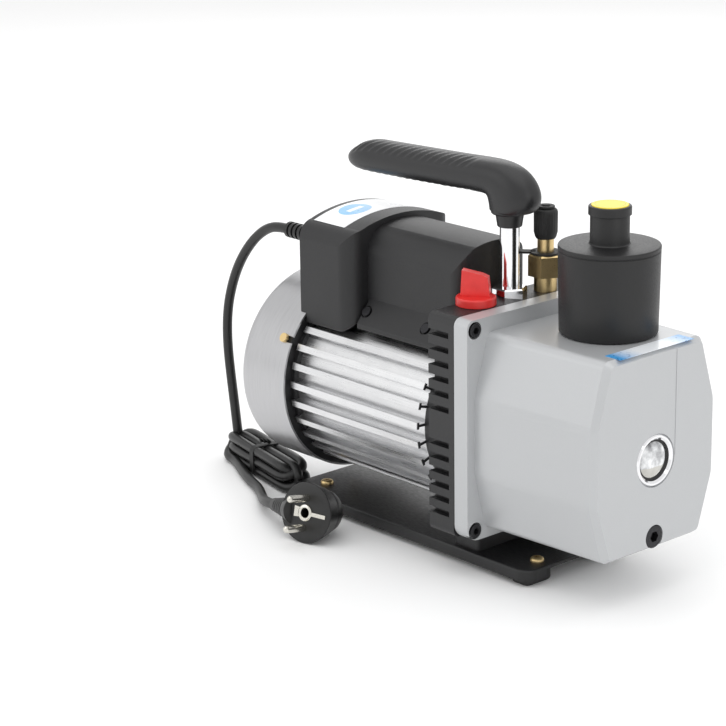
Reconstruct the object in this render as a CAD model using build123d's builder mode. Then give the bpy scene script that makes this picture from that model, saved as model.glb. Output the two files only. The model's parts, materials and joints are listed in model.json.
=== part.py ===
from build123d import *

import os
from math import cos, pi, radians, sin, tan

# A small rotary vane vacuum pump for refrigeration work, with its mains lead.
# Millimetres. X runs along the shaft from the fan cover to the oil case, Z is up,
# and the origin lies under the middle of the pump on the surface it stands on.

os.makedirs("parts", exist_ok=True)

# Clearances
running = 0.05
air = 0.3
bolt_gap = 0.2

# Lengths along the shaft
case_length = 104.7
bracket_depth = 21.15
hub_length = 12.0
fin_length = 118.0
cover_gap = 1.2
cover_length = 45.0

pump_length = case_length + bracket_depth + hub_length + fin_length + cover_gap + cover_length
case_front_x = pump_length / 2
joint_x = case_front_x - case_length
bracket_back_x = joint_x - bracket_depth
shell_front_x = bracket_back_x - hub_length
shell_back_x = shell_front_x - fin_length
cover_front_x = shell_back_x - cover_gap
cover_back_x = cover_front_x - cover_length

# Motor
axis_z = 84.1
fin_radius = 59.0
root_radius = 52.5
shell_bore = 46.0
fin_web = 1.6
fin_cap = 4.2
fin_cap_depth = 1.5
fin_pitch = 12.0
first_fin = 51.5
fins_per_side = 11
cover_radius = 63.9
cover_wall = 1.2
shaft_radius = 7.5
bearing_radius = 17.5
bearing_width = 11.0
core_bore = 27.2
rotor_gap = 0.4
core_length = 62.0
winding_length = 13.0

# Base tray
base_top = 11.0
base_width = 89.6
base_length = 218.4
base_reach = 45.2
base_sheet = 2.0
base_skirt_z = 4.0
base_corner = 9.0
leg_width = 17.0
front_screw_inset = 10.2
rear_screw_inset = 16.8
foot_screw_y = 25.7
foot_size_x = 15.0
foot_size_y = 22.0
foot_y = 30.5

# Bracket casting and case flange
flange_width = 121.7
flange_height = 136.5
flange_bottom = 24.7
flange_top = flange_bottom + flange_height
flange_mid_z = flange_bottom + flange_height / 2
flange_depth = 11.0
gasket = 0.8
case_bolt_inset = 6.3
case_bolt_radius = 2.5
case_bolt_head = 4.25
rib_reach = 5.0
rib_slot = 3.6
rib_rim = 4.0
upper_slots = (103.5, 9.2, 6)
lower_slots = (38.7, 8.6, 6)
pedestal_width = 82.0
top_boss_radius = 12.0

# Oil case
case_top = 151.8
case_bottom = 30.4
upper_knee = 113.0
lower_knee = 67.0
front_halves = (40.7, 51.6, 40.6)
flange_halves = (44.0, 55.0, 46.0)
case_wall = 4.0
front_edge = 4.0
sight_z = 85.1
sight_radius = 16.0
lens_radius = 12.5
flat_width = 33.0
flat_depth = 0.3
drain_z = 38.4
drain_head_radius = 7.0
drain_thread_radius = 5.0

# Exhaust filter
filter_x = joint_x + 60.0
filter_y = 6.8
filter_radius = 30.0
filter_height = 52.5
filter_wall = 2.5
filter_neck = 11.5
filter_neck_top = 222.0
filter_thread = 12.0
cap_rim_radius = 12.6
cap_height = 5.2
cap_disc_radius = 10.9

# Fittings on top of the bracket
knob_x = joint_x - 12.5
knob_y = -30.0
knob_radius = 12.2
post_x = joint_x - 11.0
post_y = -3.5
post_radius = 6.0
post_top = 214.0
inlet_x = joint_x - 7.0
inlet_y = 23.0
inlet_thread = 7.0
hex_flats = 19.0

# Wiring box
box_back_x = cover_front_x - 4.65
box_step_x = joint_x - 110.0
box_front_x = joint_x - 27.0
box_wall = 2.5
wide_half = 44.0
narrow_half = 29.0
skirt_half = 40.0

# Mains lead
cord_radius = 3.3
relief_radius = 5.25
relief_length = 38.0
relief_y = -20.0
relief_z = 173.5
relief_end_x = box_back_x - relief_length
hank_start = (relief_end_x - 63.075, -14.0)
hank_end = (relief_end_x + 7.675, -30.0)
hank_half_width = 13.0
hank_height = 21.0
tie_width = 6.0
tie_depth = 1.0

# Vane pump
rotor_radius = 22.0
eccentricity = 4.0
bore_radius = rotor_radius + eccentricity + running
block_radius = 36.0
block_length = 40.0
end_plate = 8.0
vane_thickness = 6.0
vane_root = 6.1
vane_tip = rotor_radius - 0.3
journal_radius = 6.0
seal_length = 8.0
seal_radius = 13.0
block_flat_z = 112.0
block_z = axis_z - eccentricity


def write(piece, name):
    """Label a finished piece and write it as one STEP file."""
    piece.label = name
    export_step(piece, f"parts/{name}.step")


def across(x, y=0.0, z=axis_z):
    """Plane square to the shaft, looking back along it: its x runs along Y, its y runs up."""
    return Plane(origin=(x, y, z), x_dir=(0, 1, 0), z_dir=(1, 0, 0))


def level(z, x=0.0, y=0.0):
    """Horizontal plane at height z."""
    return Plane(origin=(x, y, z), x_dir=(1, 0, 0), z_dir=(0, 0, 1))


def lengthwise(y, x=0.0, z=0.0):
    """Upright plane along the pump: its x runs along X, its y runs up, its normal points to -Y."""
    return Plane(origin=(x, y, z), x_dir=(1, 0, 0), z_dir=(0, -1, 0))


def radial(x, angle, radius):
    """Plane on a cylinder round the shaft, facing out, at an angle from the top."""
    out = (0, sin(radians(angle)), cos(radians(angle)))
    origin = (x, radius * out[1], axis_z + radius * out[2])
    return Plane(origin=origin, x_dir=(1, 0, 0), z_dir=out)


def turned(plane, length, outer, inner=0.0, mode=Mode.ADD):
    """A round bar or ring raised from a plane, in the part being built."""
    with BuildSketch(plane) as face:
        Circle(outer)
        if inner:
            Circle(inner, mode=Mode.SUBTRACT)
    extrude(face.sketch, amount=length, mode=mode)


def hexagon(plane, length, flats, mode=Mode.ADD):
    """A hexagonal bar raised from a plane, in the part being built."""
    with BuildSketch(plane) as face:
        RegularPolygon(flats / 2, 6, major_radius=False)
    extrude(face.sketch, amount=length, mode=mode)


def slab(plane, length, width, height, corner=0.0, mode=Mode.ADD):
    """A flat block raised from a plane, in the part being built."""
    with BuildSketch(plane) as face:
        if corner:
            RectangleRounded(width, height, corner)
        else:
            Rectangle(width, height)
    extrude(face.sketch, amount=length, mode=mode)


# ---------------------------------------------------------------- base tray
base_front_x = joint_x + base_reach
base_mid_x = base_front_x - base_length / 2
base_back_x = base_front_x - base_length
base_depth = base_top - base_skirt_z
foot_xs = (base_front_x - front_screw_inset, base_back_x + rear_screw_inset)
foot_height = base_top - base_sheet
foot_screw_radius = 2.0
bracket_bolt_radius = 4.0
bracket_bolt_y = 26.0
bracket_mid_x = joint_x - bracket_depth / 2

with BuildPart() as base_plate:
    skirt_foot = level(base_skirt_z, base_mid_x)
    slab(skirt_foot, base_depth, base_length, base_width, base_corner)
    fillet(base_plate.faces().sort_by(Axis.Z)[-1].edges(), 1.2)
    hollow_length = base_length - 2 * base_sheet
    hollow_width = base_width - 2 * base_sheet
    hollow = base_depth - base_sheet
    slab(skirt_foot, hollow, hollow_length, hollow_width, base_corner - base_sheet, Mode.SUBTRACT)
    slab(skirt_foot, hollow, base_length + 2, base_width - 2 * leg_width, mode=Mode.SUBTRACT)
    for foot_x in foot_xs:
        for side in (-1, 1):
            screw_hole = level(foot_height, foot_x, side * foot_screw_y)
            turned(screw_hole, base_sheet, foot_screw_radius + bolt_gap, mode=Mode.SUBTRACT)
    for side in (-1, 1):
        bolt_hole = level(foot_height, bracket_mid_x, side * bracket_bolt_y)
        turned(bolt_hole, base_sheet, bracket_bolt_radius + bolt_gap, mode=Mode.SUBTRACT)
write(base_plate.part, "base_plate")

with BuildPart() as rubber_feet:
    for foot_x in foot_xs:
        for side in (-1, 1):
            slab(level(0, foot_x, side * foot_y), foot_height, foot_size_x, foot_size_y, 4)
    fillet(rubber_feet.faces().group_by(Axis.Z)[0].edges(), 2)
    for foot_x in foot_xs:
        for side in (-1, 1):
            bore = level(2, foot_x, side * foot_screw_y)
            turned(bore, foot_height, foot_screw_radius, mode=Mode.SUBTRACT)
write(rubber_feet.part, "rubber_feet")

with BuildPart() as foot_screws:
    for foot_x in foot_xs:
        for side in (-1, 1):
            turned(level(2, foot_x, side * foot_screw_y), base_top - 2, foot_screw_radius)
            turned(level(base_top, foot_x, side * foot_screw_y), 2.4, 4.2)
    fillet(foot_screws.faces().group_by(Axis.Z)[-1].edges(), 1.8)
    for foot_x in foot_xs:
        for side in (-1, 1):
            recess = level(base_top + 1.2, foot_x, side * foot_screw_y)
            slab(recess, 2, 4.0, 0.8, mode=Mode.SUBTRACT)
            slab(recess, 2, 0.8, 4.0, mode=Mode.SUBTRACT)
write(foot_screws.part, "foot_screws")

# ---------------------------------------------------------------- bracket casting
coupling_radius = 14.0
register_length = 5.0
winding_room = 40.0
bolt_ys = (flange_width / 2 - case_bolt_inset, -flange_width / 2 + case_bolt_inset)
bolt_zs = (flange_bottom + case_bolt_inset, flange_top - case_bolt_inset)
stud_depth = 12.0
pump_bolt_radius = 3.0
pump_bolt_circle = 31.0
pump_bolt_angles = (-125, -55, 15, 165)
port_z = 104.5
port_radius = 3.0

with BuildPart() as bracket:
    slab(across(bracket_back_x, 0, flange_mid_z), bracket_depth, flange_width, flange_height, 5)
    slot_length = bracket_depth - rib_rim
    for first, pitch, count in (upper_slots, lower_slots):
        for row in range(count):
            for side in (-1, 1):
                slot_face = across(bracket_back_x, side * flange_width / 2, first + row * pitch)
                slab(slot_face, slot_length, 2 * rib_reach, rib_slot, mode=Mode.SUBTRACT)
    slab(level(base_top, bracket_mid_x), flange_bottom - base_top, bracket_depth, pedestal_width, 3)
    turned(level(flange_top - 11, knob_x, knob_y), 11, top_boss_radius)
    turned(across(shell_front_x), hub_length, root_radius)
    turned(across(shell_front_x - register_length), register_length, shell_bore, winding_room)
    # Bores along the shaft: bearing, coupling and seal
    turned(across(shell_front_x), bearing_width, bearing_radius, mode=Mode.SUBTRACT)
    coupling_length = joint_x - seal_length - shell_front_x - bearing_width
    turned(across(shell_front_x + bearing_width), coupling_length, coupling_radius, mode=Mode.SUBTRACT)
    turned(across(joint_x - seal_length), seal_length, seal_radius, mode=Mode.SUBTRACT)
    # Threaded holes: case screws, pump screws, bolts from below
    for bolt_y in bolt_ys:
        for bolt_z in bolt_zs:
            hole = across(joint_x - stud_depth, bolt_y, bolt_z)
            turned(hole, stud_depth, case_bolt_radius, mode=Mode.SUBTRACT)
    for angle in pump_bolt_angles:
        bolt_y = pump_bolt_circle * cos(radians(angle))
        bolt_z = block_z + pump_bolt_circle * sin(radians(angle))
        hole = across(joint_x - stud_depth, bolt_y, bolt_z)
        turned(hole, stud_depth, pump_bolt_radius, mode=Mode.SUBTRACT)
    for side in (-1, 1):
        hole = level(base_top, bracket_mid_x, side * bracket_bolt_y)
        turned(hole, stud_depth, bracket_bolt_radius, mode=Mode.SUBTRACT)
    # Sockets in the top face: knob spindle, handle stud, inlet thread and its passage
    turned(level(flange_top - 10, knob_x, knob_y), 10, 4 + running, mode=Mode.SUBTRACT)
    turned(level(flange_top - 12, post_x, post_y), 12, 5, mode=Mode.SUBTRACT)
    turned(level(flange_top - 9, inlet_x, inlet_y), 9, inlet_thread, mode=Mode.SUBTRACT)
    turned(level(port_z, inlet_x, inlet_y), flange_top - port_z - 9, port_radius, mode=Mode.SUBTRACT)
    turned(across(inlet_x, inlet_y, port_z), joint_x - inlet_x, port_radius, mode=Mode.SUBTRACT)
write(bracket.part, "bracket")

with BuildPart() as bracket_bolts:
    for side in (-1, 1):
        turned(level(foot_height, bracket_mid_x, side * bracket_bolt_y), 14, bracket_bolt_radius)
        hexagon(level(foot_height - 4.5, bracket_mid_x, side * bracket_bolt_y), 4.5, 13)
write(bracket_bolts.part, "bracket_bolts")

# ---------------------------------------------------------------- oil case
body_back_x = joint_x + gasket + flange_depth
pocket_depth = 4.0


def case_section(x, halves, inset):
    """Outline of the oil case square to the shaft: tapered top and bottom with soft knees."""
    top_half, knee_half, bottom_half = halves
    right = [
        (bottom_half - inset, case_bottom + inset),
        (knee_half - inset, lower_knee),
        (knee_half - inset, upper_knee),
        (top_half - inset, case_top - inset),
    ]
    outline = right + [(-y, z) for y, z in reversed(right)]
    with BuildSketch(across(x, 0, 0)) as section:
        Polygon(*outline, align=None)
        rows = section.vertices().group_by(Axis.Y)
        fillet(rows[0] + rows[-1], max(6 - inset, 1.5))
        knees = section.vertices().filter_by_position(Axis.Y, lower_knee - 1, upper_knee + 1)
        fillet(knees, 20 - inset)
    return section.sketch


with BuildPart() as oil_case:
    with BuildSketch(across(joint_x + gasket, 0, flange_mid_z)) as flange_face:
        Rectangle(flange_width, flange_height)
        fillet(flange_face.vertices().group_by(Axis.Y)[0], 9)
        fillet(flange_face.vertices().group_by(Axis.Y)[-1], 5)
    extrude(amount=flange_depth)
    back_section = case_section(body_back_x - 1, flange_halves, 0)
    shoulder_section = case_section(case_front_x - front_edge, front_halves, 0)
    front_section = case_section(case_front_x, front_halves, front_edge * 0.7)
    loft([back_section, shoulder_section], ruled=True)
    loft([shoulder_section, front_section], ruled=True)
    inner_back = case_section(joint_x, flange_halves, case_wall)
    inner_front = case_section(case_front_x - case_wall, front_halves, case_wall)
    loft([inner_back, inner_front], ruled=True, mode=Mode.SUBTRACT)
    # Bosses inside the walls for the sight glass, the drain and the filter
    turned(across(case_front_x - 10, 0, sight_z), 8, sight_radius + 4)
    turned(across(case_front_x - 13, 0, drain_z + 1.5), 11, drain_thread_radius + 3)
    turned(level(case_top - 11, filter_x, filter_y), 9, filter_thread + 4)
    # A shallow flat down the middle of the front, from the top edge to the sight glass
    flat_face = across(case_front_x - flat_depth, 0, (sight_z + case_top) / 2)
    slab(flat_face, 1, flat_width, case_top - sight_z, mode=Mode.SUBTRACT)
    # Sight glass seat, drain seat, filter thread
    turned(across(case_front_x - 2.5, 0, sight_z), 3, sight_radius, mode=Mode.SUBTRACT)
    turned(across(case_front_x - 11, 0, sight_z), 9, lens_radius + 2, mode=Mode.SUBTRACT)
    turned(across(case_front_x - 4, 0, drain_z), 5, drain_head_radius + air, mode=Mode.SUBTRACT)
    turned(across(case_front_x - 14, 0, drain_z), 12, drain_thread_radius + running, mode=Mode.SUBTRACT)
    filter_hole = level(case_top - 12, filter_x, filter_y)
    turned(filter_hole, 14, filter_thread + running, mode=Mode.SUBTRACT)
    for bolt_y in bolt_ys:
        for bolt_z in bolt_zs:
            hole = across(joint_x, bolt_y, bolt_z)
            turned(hole, flange_depth + 2, case_bolt_radius + bolt_gap, mode=Mode.SUBTRACT)
            pocket = across(body_back_x - pocket_depth, bolt_y, bolt_z)
            turned(pocket, pocket_depth + 4, case_bolt_head + 1, mode=Mode.SUBTRACT)
write(oil_case.part, "oil_case")

with BuildPart() as case_gasket:
    with BuildSketch(across(joint_x, 0, flange_mid_z)) as gasket_face:
        Rectangle(flange_width, flange_height)
        fillet(gasket_face.vertices().group_by(Axis.Y)[0], 9)
        fillet(gasket_face.vertices().group_by(Axis.Y)[-1], 5)
    extrude(amount=gasket)
    extrude(case_section(joint_x, flange_halves, case_wall), amount=gasket, mode=Mode.SUBTRACT)
    for bolt_y in bolt_ys:
        for bolt_z in bolt_zs:
            hole = across(joint_x, bolt_y, bolt_z)
            turned(hole, gasket, case_bolt_radius + bolt_gap, mode=Mode.SUBTRACT)
write(case_gasket.part, "case_gasket")

with BuildPart() as case_screws:
    seat_x = body_back_x - pocket_depth
    for bolt_y in bolt_ys:
        for bolt_z in bolt_zs:
            shank_x = joint_x - stud_depth + 2
            turned(across(shank_x, bolt_y, bolt_z), seat_x - shank_x, case_bolt_radius)
            turned(across(seat_x, bolt_y, bolt_z), 5, case_bolt_head)
    fillet(case_screws.faces().group_by(Axis.X)[-1].edges(), 0.5)
    for bolt_y in bolt_ys:
        for bolt_z in bolt_zs:
            hexagon(across(seat_x + 2, bolt_y, bolt_z), 4, 4, mode=Mode.SUBTRACT)
write(case_screws.part, "case_screws")

with BuildPart() as sight_ring:
    turned(across(case_front_x - 2.5, 0, sight_z), 2.5, sight_radius)
    turned(across(case_front_x - 9, 0, sight_z), 6.5, lens_radius + 2)
    turned(across(case_front_x - 8, 0, sight_z), 8, lens_radius, mode=Mode.SUBTRACT)
    turned(across(case_front_x - 9, 0, sight_z), 1, lens_radius - 2, mode=Mode.SUBTRACT)
    chamfer(sight_ring.faces().sort_by(Axis.X)[-1].edges(), 1.2)
write(sight_ring.part, "sight_ring")

with BuildPart() as sight_lens:
    turned(across(case_front_x - 8, 0, sight_z), 4, lens_radius)
write(sight_lens.part, "sight_lens")

with BuildPart() as sight_seal:
    turned(across(case_front_x - 4, 0, sight_z), 1.6, lens_radius, lens_radius - 1.6)
write(sight_seal.part, "sight_seal")

with BuildPart() as drain_plug:
    turned(across(case_front_x - 3.7, 0, drain_z), 3.7, drain_head_radius)
    turned(across(case_front_x - 13, 0, drain_z), 9.3, drain_thread_radius)
    fillet(drain_plug.faces().sort_by(Axis.X)[-1].edges(), 0.8)
    hexagon(across(case_front_x - 4, 0, drain_z), 5, 6, mode=Mode.SUBTRACT)
write(drain_plug.part, "drain_plug")

sticker = 0.2
with BuildPart() as case_sticker:
    slab(level(case_top, case_front_x - 6.2, 0), sticker, 12, 62)
write(case_sticker.part, "case_sticker")

# ---------------------------------------------------------------- exhaust filter
filter_bottom = case_top + air
filter_top = filter_bottom + filter_height
filter_foot = filter_radius - 1

with BuildPart() as filter_housing:
    with BuildSketch(lengthwise(filter_y, filter_x)):
        with BuildLine():
            Polyline(
                (0, filter_bottom),
                (filter_foot, filter_bottom),
                (filter_radius, filter_top - 2.5),
                (filter_radius - 2.5, filter_top),
                (filter_neck, filter_top),
                (filter_neck, filter_neck_top),
                (0, filter_neck_top),
                close=True,
            )
        make_face()
    revolve(axis=Axis((filter_x, filter_y, 0), (0, 0, 1)))
    chamber = filter_height - 2 * filter_wall
    chamber_radius = filter_foot - filter_wall
    turned(level(filter_bottom - 8, filter_x, filter_y), 8, filter_thread)
    floor_face = level(filter_bottom + filter_wall, filter_x, filter_y)
    turned(floor_face, chamber, chamber_radius, mode=Mode.SUBTRACT)
    thread_foot = level(filter_bottom - 8, filter_x, filter_y)
    turned(thread_foot, 8 + filter_wall, filter_thread - 3, mode=Mode.SUBTRACT)
    neck_height = filter_neck_top - filter_top + filter_wall
    neck_foot = level(filter_top - filter_wall, filter_x, filter_y)
    turned(neck_foot, neck_height, filter_neck - 2, mode=Mode.SUBTRACT)
write(filter_housing.part, "filter_housing")

with BuildPart() as filter_element:
    turned(level(filter_bottom + filter_wall, filter_x, filter_y), chamber, chamber_radius - 1, 11)
write(filter_element.part, "filter_element")

cap_foot = filter_neck_top + air
with BuildPart() as exhaust_cap:
    turned(level(cap_foot, filter_x, filter_y), cap_height, cap_rim_radius)
    fillet(exhaust_cap.faces().sort_by(Axis.Z)[-1].edges(), 1)
    turned(level(cap_foot - 7, filter_x, filter_y), 7, filter_neck - 2 - running, filter_neck - 4)
    turned(level(cap_foot + cap_height - 0.6, filter_x, filter_y), 1, cap_disc_radius, mode=Mode.SUBTRACT)
write(exhaust_cap.part, "exhaust_cap")

with BuildPart() as cap_disc:
    turned(level(cap_foot + cap_height - 0.6, filter_x, filter_y), 1.2, cap_disc_radius)
    fillet(cap_disc.faces().sort_by(Axis.Z)[-1].edges(), 0.4)
write(cap_disc.part, "cap_disc")

# ---------------------------------------------------------------- gas ballast knob
knob_foot = flange_top + air
with BuildPart() as ballast_knob:
    turned(level(knob_foot, knob_x, knob_y), 5, knob_radius)
    fillet(ballast_knob.faces().sort_by(Axis.Z)[-1].edges(), 1.2)
    with BuildSketch(Plane(origin=(knob_x, knob_y, 0), x_dir=(0.82, 0.57, 0), z_dir=(0.57, -0.82, 0))):
        with BuildLine():
            Polyline(
                (-9, knob_foot + 4),
                (9, knob_foot + 4),
                (7.6, knob_foot + 17),
                (4, knob_foot + 18.5),
                (-8, knob_foot + 21),
                close=True,
            )
        make_face()
    extrude(amount=2.9, both=True)
    turned(level(knob_foot - 9, knob_x, knob_y), 9, 4)
write(ballast_knob.part, "ballast_knob")

# ---------------------------------------------------------------- carrying handle
grip_width = 24.0
with BuildPart() as handle_post:
    turned(level(flange_top, post_x, post_y), post_top - flange_top, post_radius)
    turned(level(flange_top - 12, post_x, post_y), 12, 5)
write(handle_post.part, "handle_post")

with BuildPart() as handle_nut:
    hexagon(level(flange_top, post_x, post_y), 6.4, hex_flats)
    chamfer(handle_nut.faces().sort_by(Axis.Z)[-1].edges(), 0.8)
    turned(level(flange_top, post_x, post_y), 7, post_radius, mode=Mode.SUBTRACT)
write(handle_nut.part, "handle_nut")

collar_z = 204.5
grip_low = 218.6
grip_high = 243.5
heel_low = 213.6
heel_mid_x = joint_x - 12.4
with BuildPart() as handle_grip:
    bar_face = across(joint_x - 154, post_y, (grip_low + grip_high) / 2)
    slab(bar_face, 131, grip_width, grip_high - grip_low, 9)
    slab(level(heel_low, heel_mid_x, post_y), grip_high - heel_low, 44, grip_width, 10)
    with BuildSketch(lengthwise(post_y + grip_width / 2, joint_x)) as grip_side:
        Polygon(
            (-152.5, 227.5),
            (-128, 240.2),
            (-20, 243.8),
            (11.5, 225.5),
            (3, heel_low),
            (-23.5, heel_low),
            (-31, 222.2),
            (-143, 219.0),
            align=None,
        )
        elbow = grip_side.vertices().sort_by(Axis.Y)[-1]
        fillet(elbow, 30)
        fillet(grip_side.vertices().group_by(Axis.X)[-1], 5)
        fillet(grip_side.vertices().group_by(Axis.X)[0], 3)
    extrude(amount=grip_width, mode=Mode.INTERSECT)
    turned(level(collar_z, post_x, post_y), 9.5, 7.4)
    turned(level(collar_z + 8, post_x, post_y), 6, 11.4)
    turned(level(collar_z, post_x, post_y), post_top - collar_z, post_radius, mode=Mode.SUBTRACT)
write(handle_grip.part, "handle_grip")

# ---------------------------------------------------------------- inlet fitting
fitting_hex_z = 170.5
fitting_hex = 13.5
neck_top = 206.0
neck_radius = 5.0
bore_r = 2.6
strap_height = 1.3

with BuildPart() as inlet_fitting:
    turned(level(flange_top - 9, inlet_x, inlet_y), fitting_hex_z - flange_top + 9, inlet_thread)
    hexagon(level(fitting_hex_z, inlet_x, inlet_y), fitting_hex, hex_flats)
    chamfer(inlet_fitting.faces().sort_by(Axis.Z)[-1].edges(), 0.9)
    neck_foot_z = fitting_hex_z + fitting_hex
    turned(level(neck_foot_z, inlet_x, inlet_y), neck_top - neck_foot_z, neck_radius)
    chamfer(inlet_fitting.faces().sort_by(Axis.Z)[-1].edges(), 1.5)
    turned(level(flange_top - 9, inlet_x, inlet_y), neck_top - flange_top + 9, bore_r, mode=Mode.SUBTRACT)
    turned(level(flange_top - 9, inlet_x, inlet_y), 8, 4.5, mode=Mode.SUBTRACT)
write(inlet_fitting.part, "inlet_fitting")

with BuildPart() as inlet_strainer:
    turned(level(flange_top - 9, inlet_x, inlet_y), 8, 4.5, 3.7)
    turned(level(flange_top - 9, inlet_x, inlet_y), 0.8, 4.0)
write(inlet_strainer.part, "inlet_strainer")

strap_z = fitting_hex_z + fitting_hex
cap_bottom = strap_z + strap_height + 8.0
cap_top = cap_bottom + 18.5
with BuildPart() as flare_cap:
    turned(level(cap_bottom, inlet_x, inlet_y), cap_top - cap_bottom, 7.3)
    fillet(flare_cap.faces().sort_by(Axis.Z)[-1].edges(), 2)
    turned(level(cap_top, inlet_x, inlet_y), 2.5, 2.5)
    socket = level(cap_bottom, inlet_x, inlet_y)
    turned(socket, neck_top - cap_bottom + air, neck_radius + 0.1, mode=Mode.SUBTRACT)
write(flare_cap.part, "flare_cap")

strap_reach = 22.0
strap_half = 3.2
strap_turn = Plane(origin=(inlet_x, inlet_y, 0), x_dir=(-0.75, -0.66, 0), z_dir=(-0.66, 0.75, 0))
with BuildPart() as cap_strap:
    turned(level(strap_z, inlet_x, inlet_y), strap_height, 9.5, neck_radius)
    low = strap_z
    high = cap_top + air
    top = high + strap_height
    turned(level(high, inlet_x, inlet_y), strap_height, 5.5, 2.5 + air)
    with BuildSketch(strap_turn):
        with BuildLine():
            FilletPolyline((6, low), (strap_reach, low), (strap_reach, top), (4, top), radius=9)
            inner_reach = strap_reach - strap_height
            inner_low = low + strap_height
            inner_corners = ((inner_reach, inner_low), (inner_reach, high))
            FilletPolyline((6, inner_low), *inner_corners, (4, high), radius=7.7)
            Line((6, low), (6, inner_low))
            Line((4, high), (4, top))
        make_face()
    extrude(amount=strap_half, both=True)
write(cap_strap.part, "cap_strap")

# ---------------------------------------------------------------- motor
near_fins = 90 + first_fin
far_fins = 90 - first_fin - fin_pitch * (fins_per_side - 1)
web_length = fin_radius - root_radius
core_x = shell_front_x - 33.0 - core_length
cover_bore = cover_radius - cover_wall
end_web_x = shell_back_x - 5.0
rim_length = 7.0
rear_bearing_x = end_web_x - 8.0
cover_screw_angles = (-61, 61, 180)

with BuildPart() as motor_shell:
    turned(across(shell_back_x), fin_length, root_radius, shell_bore)
    with BuildSketch(across(shell_back_x)) as fins:
        for start in (near_fins, far_fins):
            sweep_angle = fin_pitch * fins_per_side
            web_middle = root_radius + web_length / 2 - 0.6
            with PolarLocations(web_middle, fins_per_side, start, sweep_angle):
                Rectangle(web_length + 0.6, fin_web)
            with PolarLocations(fin_radius - fin_cap_depth / 2, fins_per_side, start, sweep_angle):
                Rectangle(fin_cap_depth, fin_cap)
    extrude(fins.sketch, amount=fin_length)
write(motor_shell.part, "motor_shell")

with BuildPart() as rear_endshield:
    turned(across(end_web_x), 5, fin_radius - 3, 9)
    turned(across(end_web_x - rim_length), rim_length, cover_bore, cover_bore - 5)
    turned(across(end_web_x), 2, cover_bore, 9)
    turned(across(rear_bearing_x), 9, bearing_radius + 4, 9)
    turned(across(rear_bearing_x), bearing_width, bearing_radius, mode=Mode.SUBTRACT)
    turned(across(shell_back_x), 4, shell_bore, winding_room)
    for angle in cover_screw_angles:
        turned(radial(end_web_x - 3, angle, cover_bore - 5), 6, 2, mode=Mode.SUBTRACT)
write(rear_endshield.part, "rear_endshield")

with BuildPart() as rear_bearing:
    turned(across(rear_bearing_x), bearing_width, bearing_radius, shaft_radius + running)
write(rear_bearing.part, "rear_bearing")

with BuildPart() as front_bearing:
    turned(across(shell_front_x), bearing_width, bearing_radius, shaft_radius + running)
write(front_bearing.part, "front_bearing")

with BuildPart() as stator_core:
    turned(across(core_x), core_length, shell_bore, core_bore)
write(stator_core.part, "stator_core")

with BuildPart() as stator_windings:
    turned(across(core_x - winding_length), winding_length, shell_bore - 3, core_bore + 2)
    turned(across(core_x + core_length), winding_length, shell_bore - 3, core_bore + 2)
    fillet(stator_windings.edges().filter_by(GeomType.CIRCLE), 3)
write(stator_windings.part, "stator_windings")

with BuildPart() as motor_rotor:
    turned(across(core_x), core_length, core_bore - rotor_gap, shaft_radius)
    turned(across(core_x - 5), core_length + 10, core_bore - 5, shaft_radius)
write(motor_rotor.part, "motor_rotor")

fan_x = cover_back_x + 12.0
fan_length = 17.0
shaft_back_x = fan_x - 3
coupling_x = shell_front_x + bearing_width + 1
coupling_size = joint_x - seal_length - 1 - coupling_x
shaft_joint_x = coupling_x + coupling_size / 2
with BuildPart() as motor_shaft:
    turned(across(shaft_back_x), coupling_x - shaft_back_x, shaft_radius)
    turned(across(coupling_x), shaft_joint_x - 0.5 - coupling_x, journal_radius)
write(motor_shaft.part, "motor_shaft")

with BuildPart() as fan:
    turned(across(fan_x), fan_length, 12, shaft_radius)
    turned(across(fan_x + fan_length - 2), 2, 50, shaft_radius)
    with BuildSketch(across(fan_x)) as blades:
        with PolarLocations(32, 9):
            Rectangle(42, 2)
    extrude(blades.sketch, amount=fan_length)
write(fan.part, "fan")

with BuildPart() as coupling:
    turned(across(coupling_x), coupling_size, 12.5, journal_radius)
    fillet(coupling.edges().filter_by(GeomType.CIRCLE).group_by(SortBy.RADIUS)[-1], 1)
write(coupling.part, "coupling")

with BuildPart() as fan_cover:
    turned(across(cover_back_x), cover_length, cover_radius)
    fillet(fan_cover.faces().sort_by(Axis.X)[0].edges(), 7)
    turned(across(cover_back_x + cover_wall + 6), cover_length, cover_bore, mode=Mode.SUBTRACT)
    turned(across(cover_back_x + cover_wall), 7, cover_bore - 5, mode=Mode.SUBTRACT)
    with BuildSketch(across(cover_back_x)) as grille:
        with PolarLocations(34, 18):
            SlotOverall(30, 5)
        with PolarLocations(13, 6):
            SlotOverall(8, 4)
    extrude(grille.sketch, amount=cover_wall + 1, mode=Mode.SUBTRACT)
    for angle in cover_screw_angles:
        slot_length = cover_front_x - end_web_x + 5.5
        slot_x = cover_front_x - slot_length / 2 + 0.5
        slab(radial(slot_x, angle, cover_bore - 2), 6, slot_length + 1, 4.4, 2, mode=Mode.SUBTRACT)
write(fan_cover.part, "fan_cover")

with BuildPart() as cover_screws:
    for angle in cover_screw_angles:
        turned(radial(end_web_x - 3, angle, cover_bore - 4), 5.2, 2)
        turned(radial(end_web_x - 3, angle, cover_radius), 2, 3)
write(cover_screws.part, "cover_screws")

# ---------------------------------------------------------------- wiring box
# Each arch: half width, top of the straight side, where the shoulder ends, crest height
wide_arch = (wide_half, 178.0, 34.5, 189.6, 195.5)
narrow_arch = (narrow_half, 175.0, 16.0, 190.6, 192.5)
box_foot_z = 120.0
skirt_low = 132.0
skirt_high = 146.0
shoulder_bulge = 2.0
saddle_radius = fin_radius + 1
cover_saddle = cover_radius + air


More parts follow.
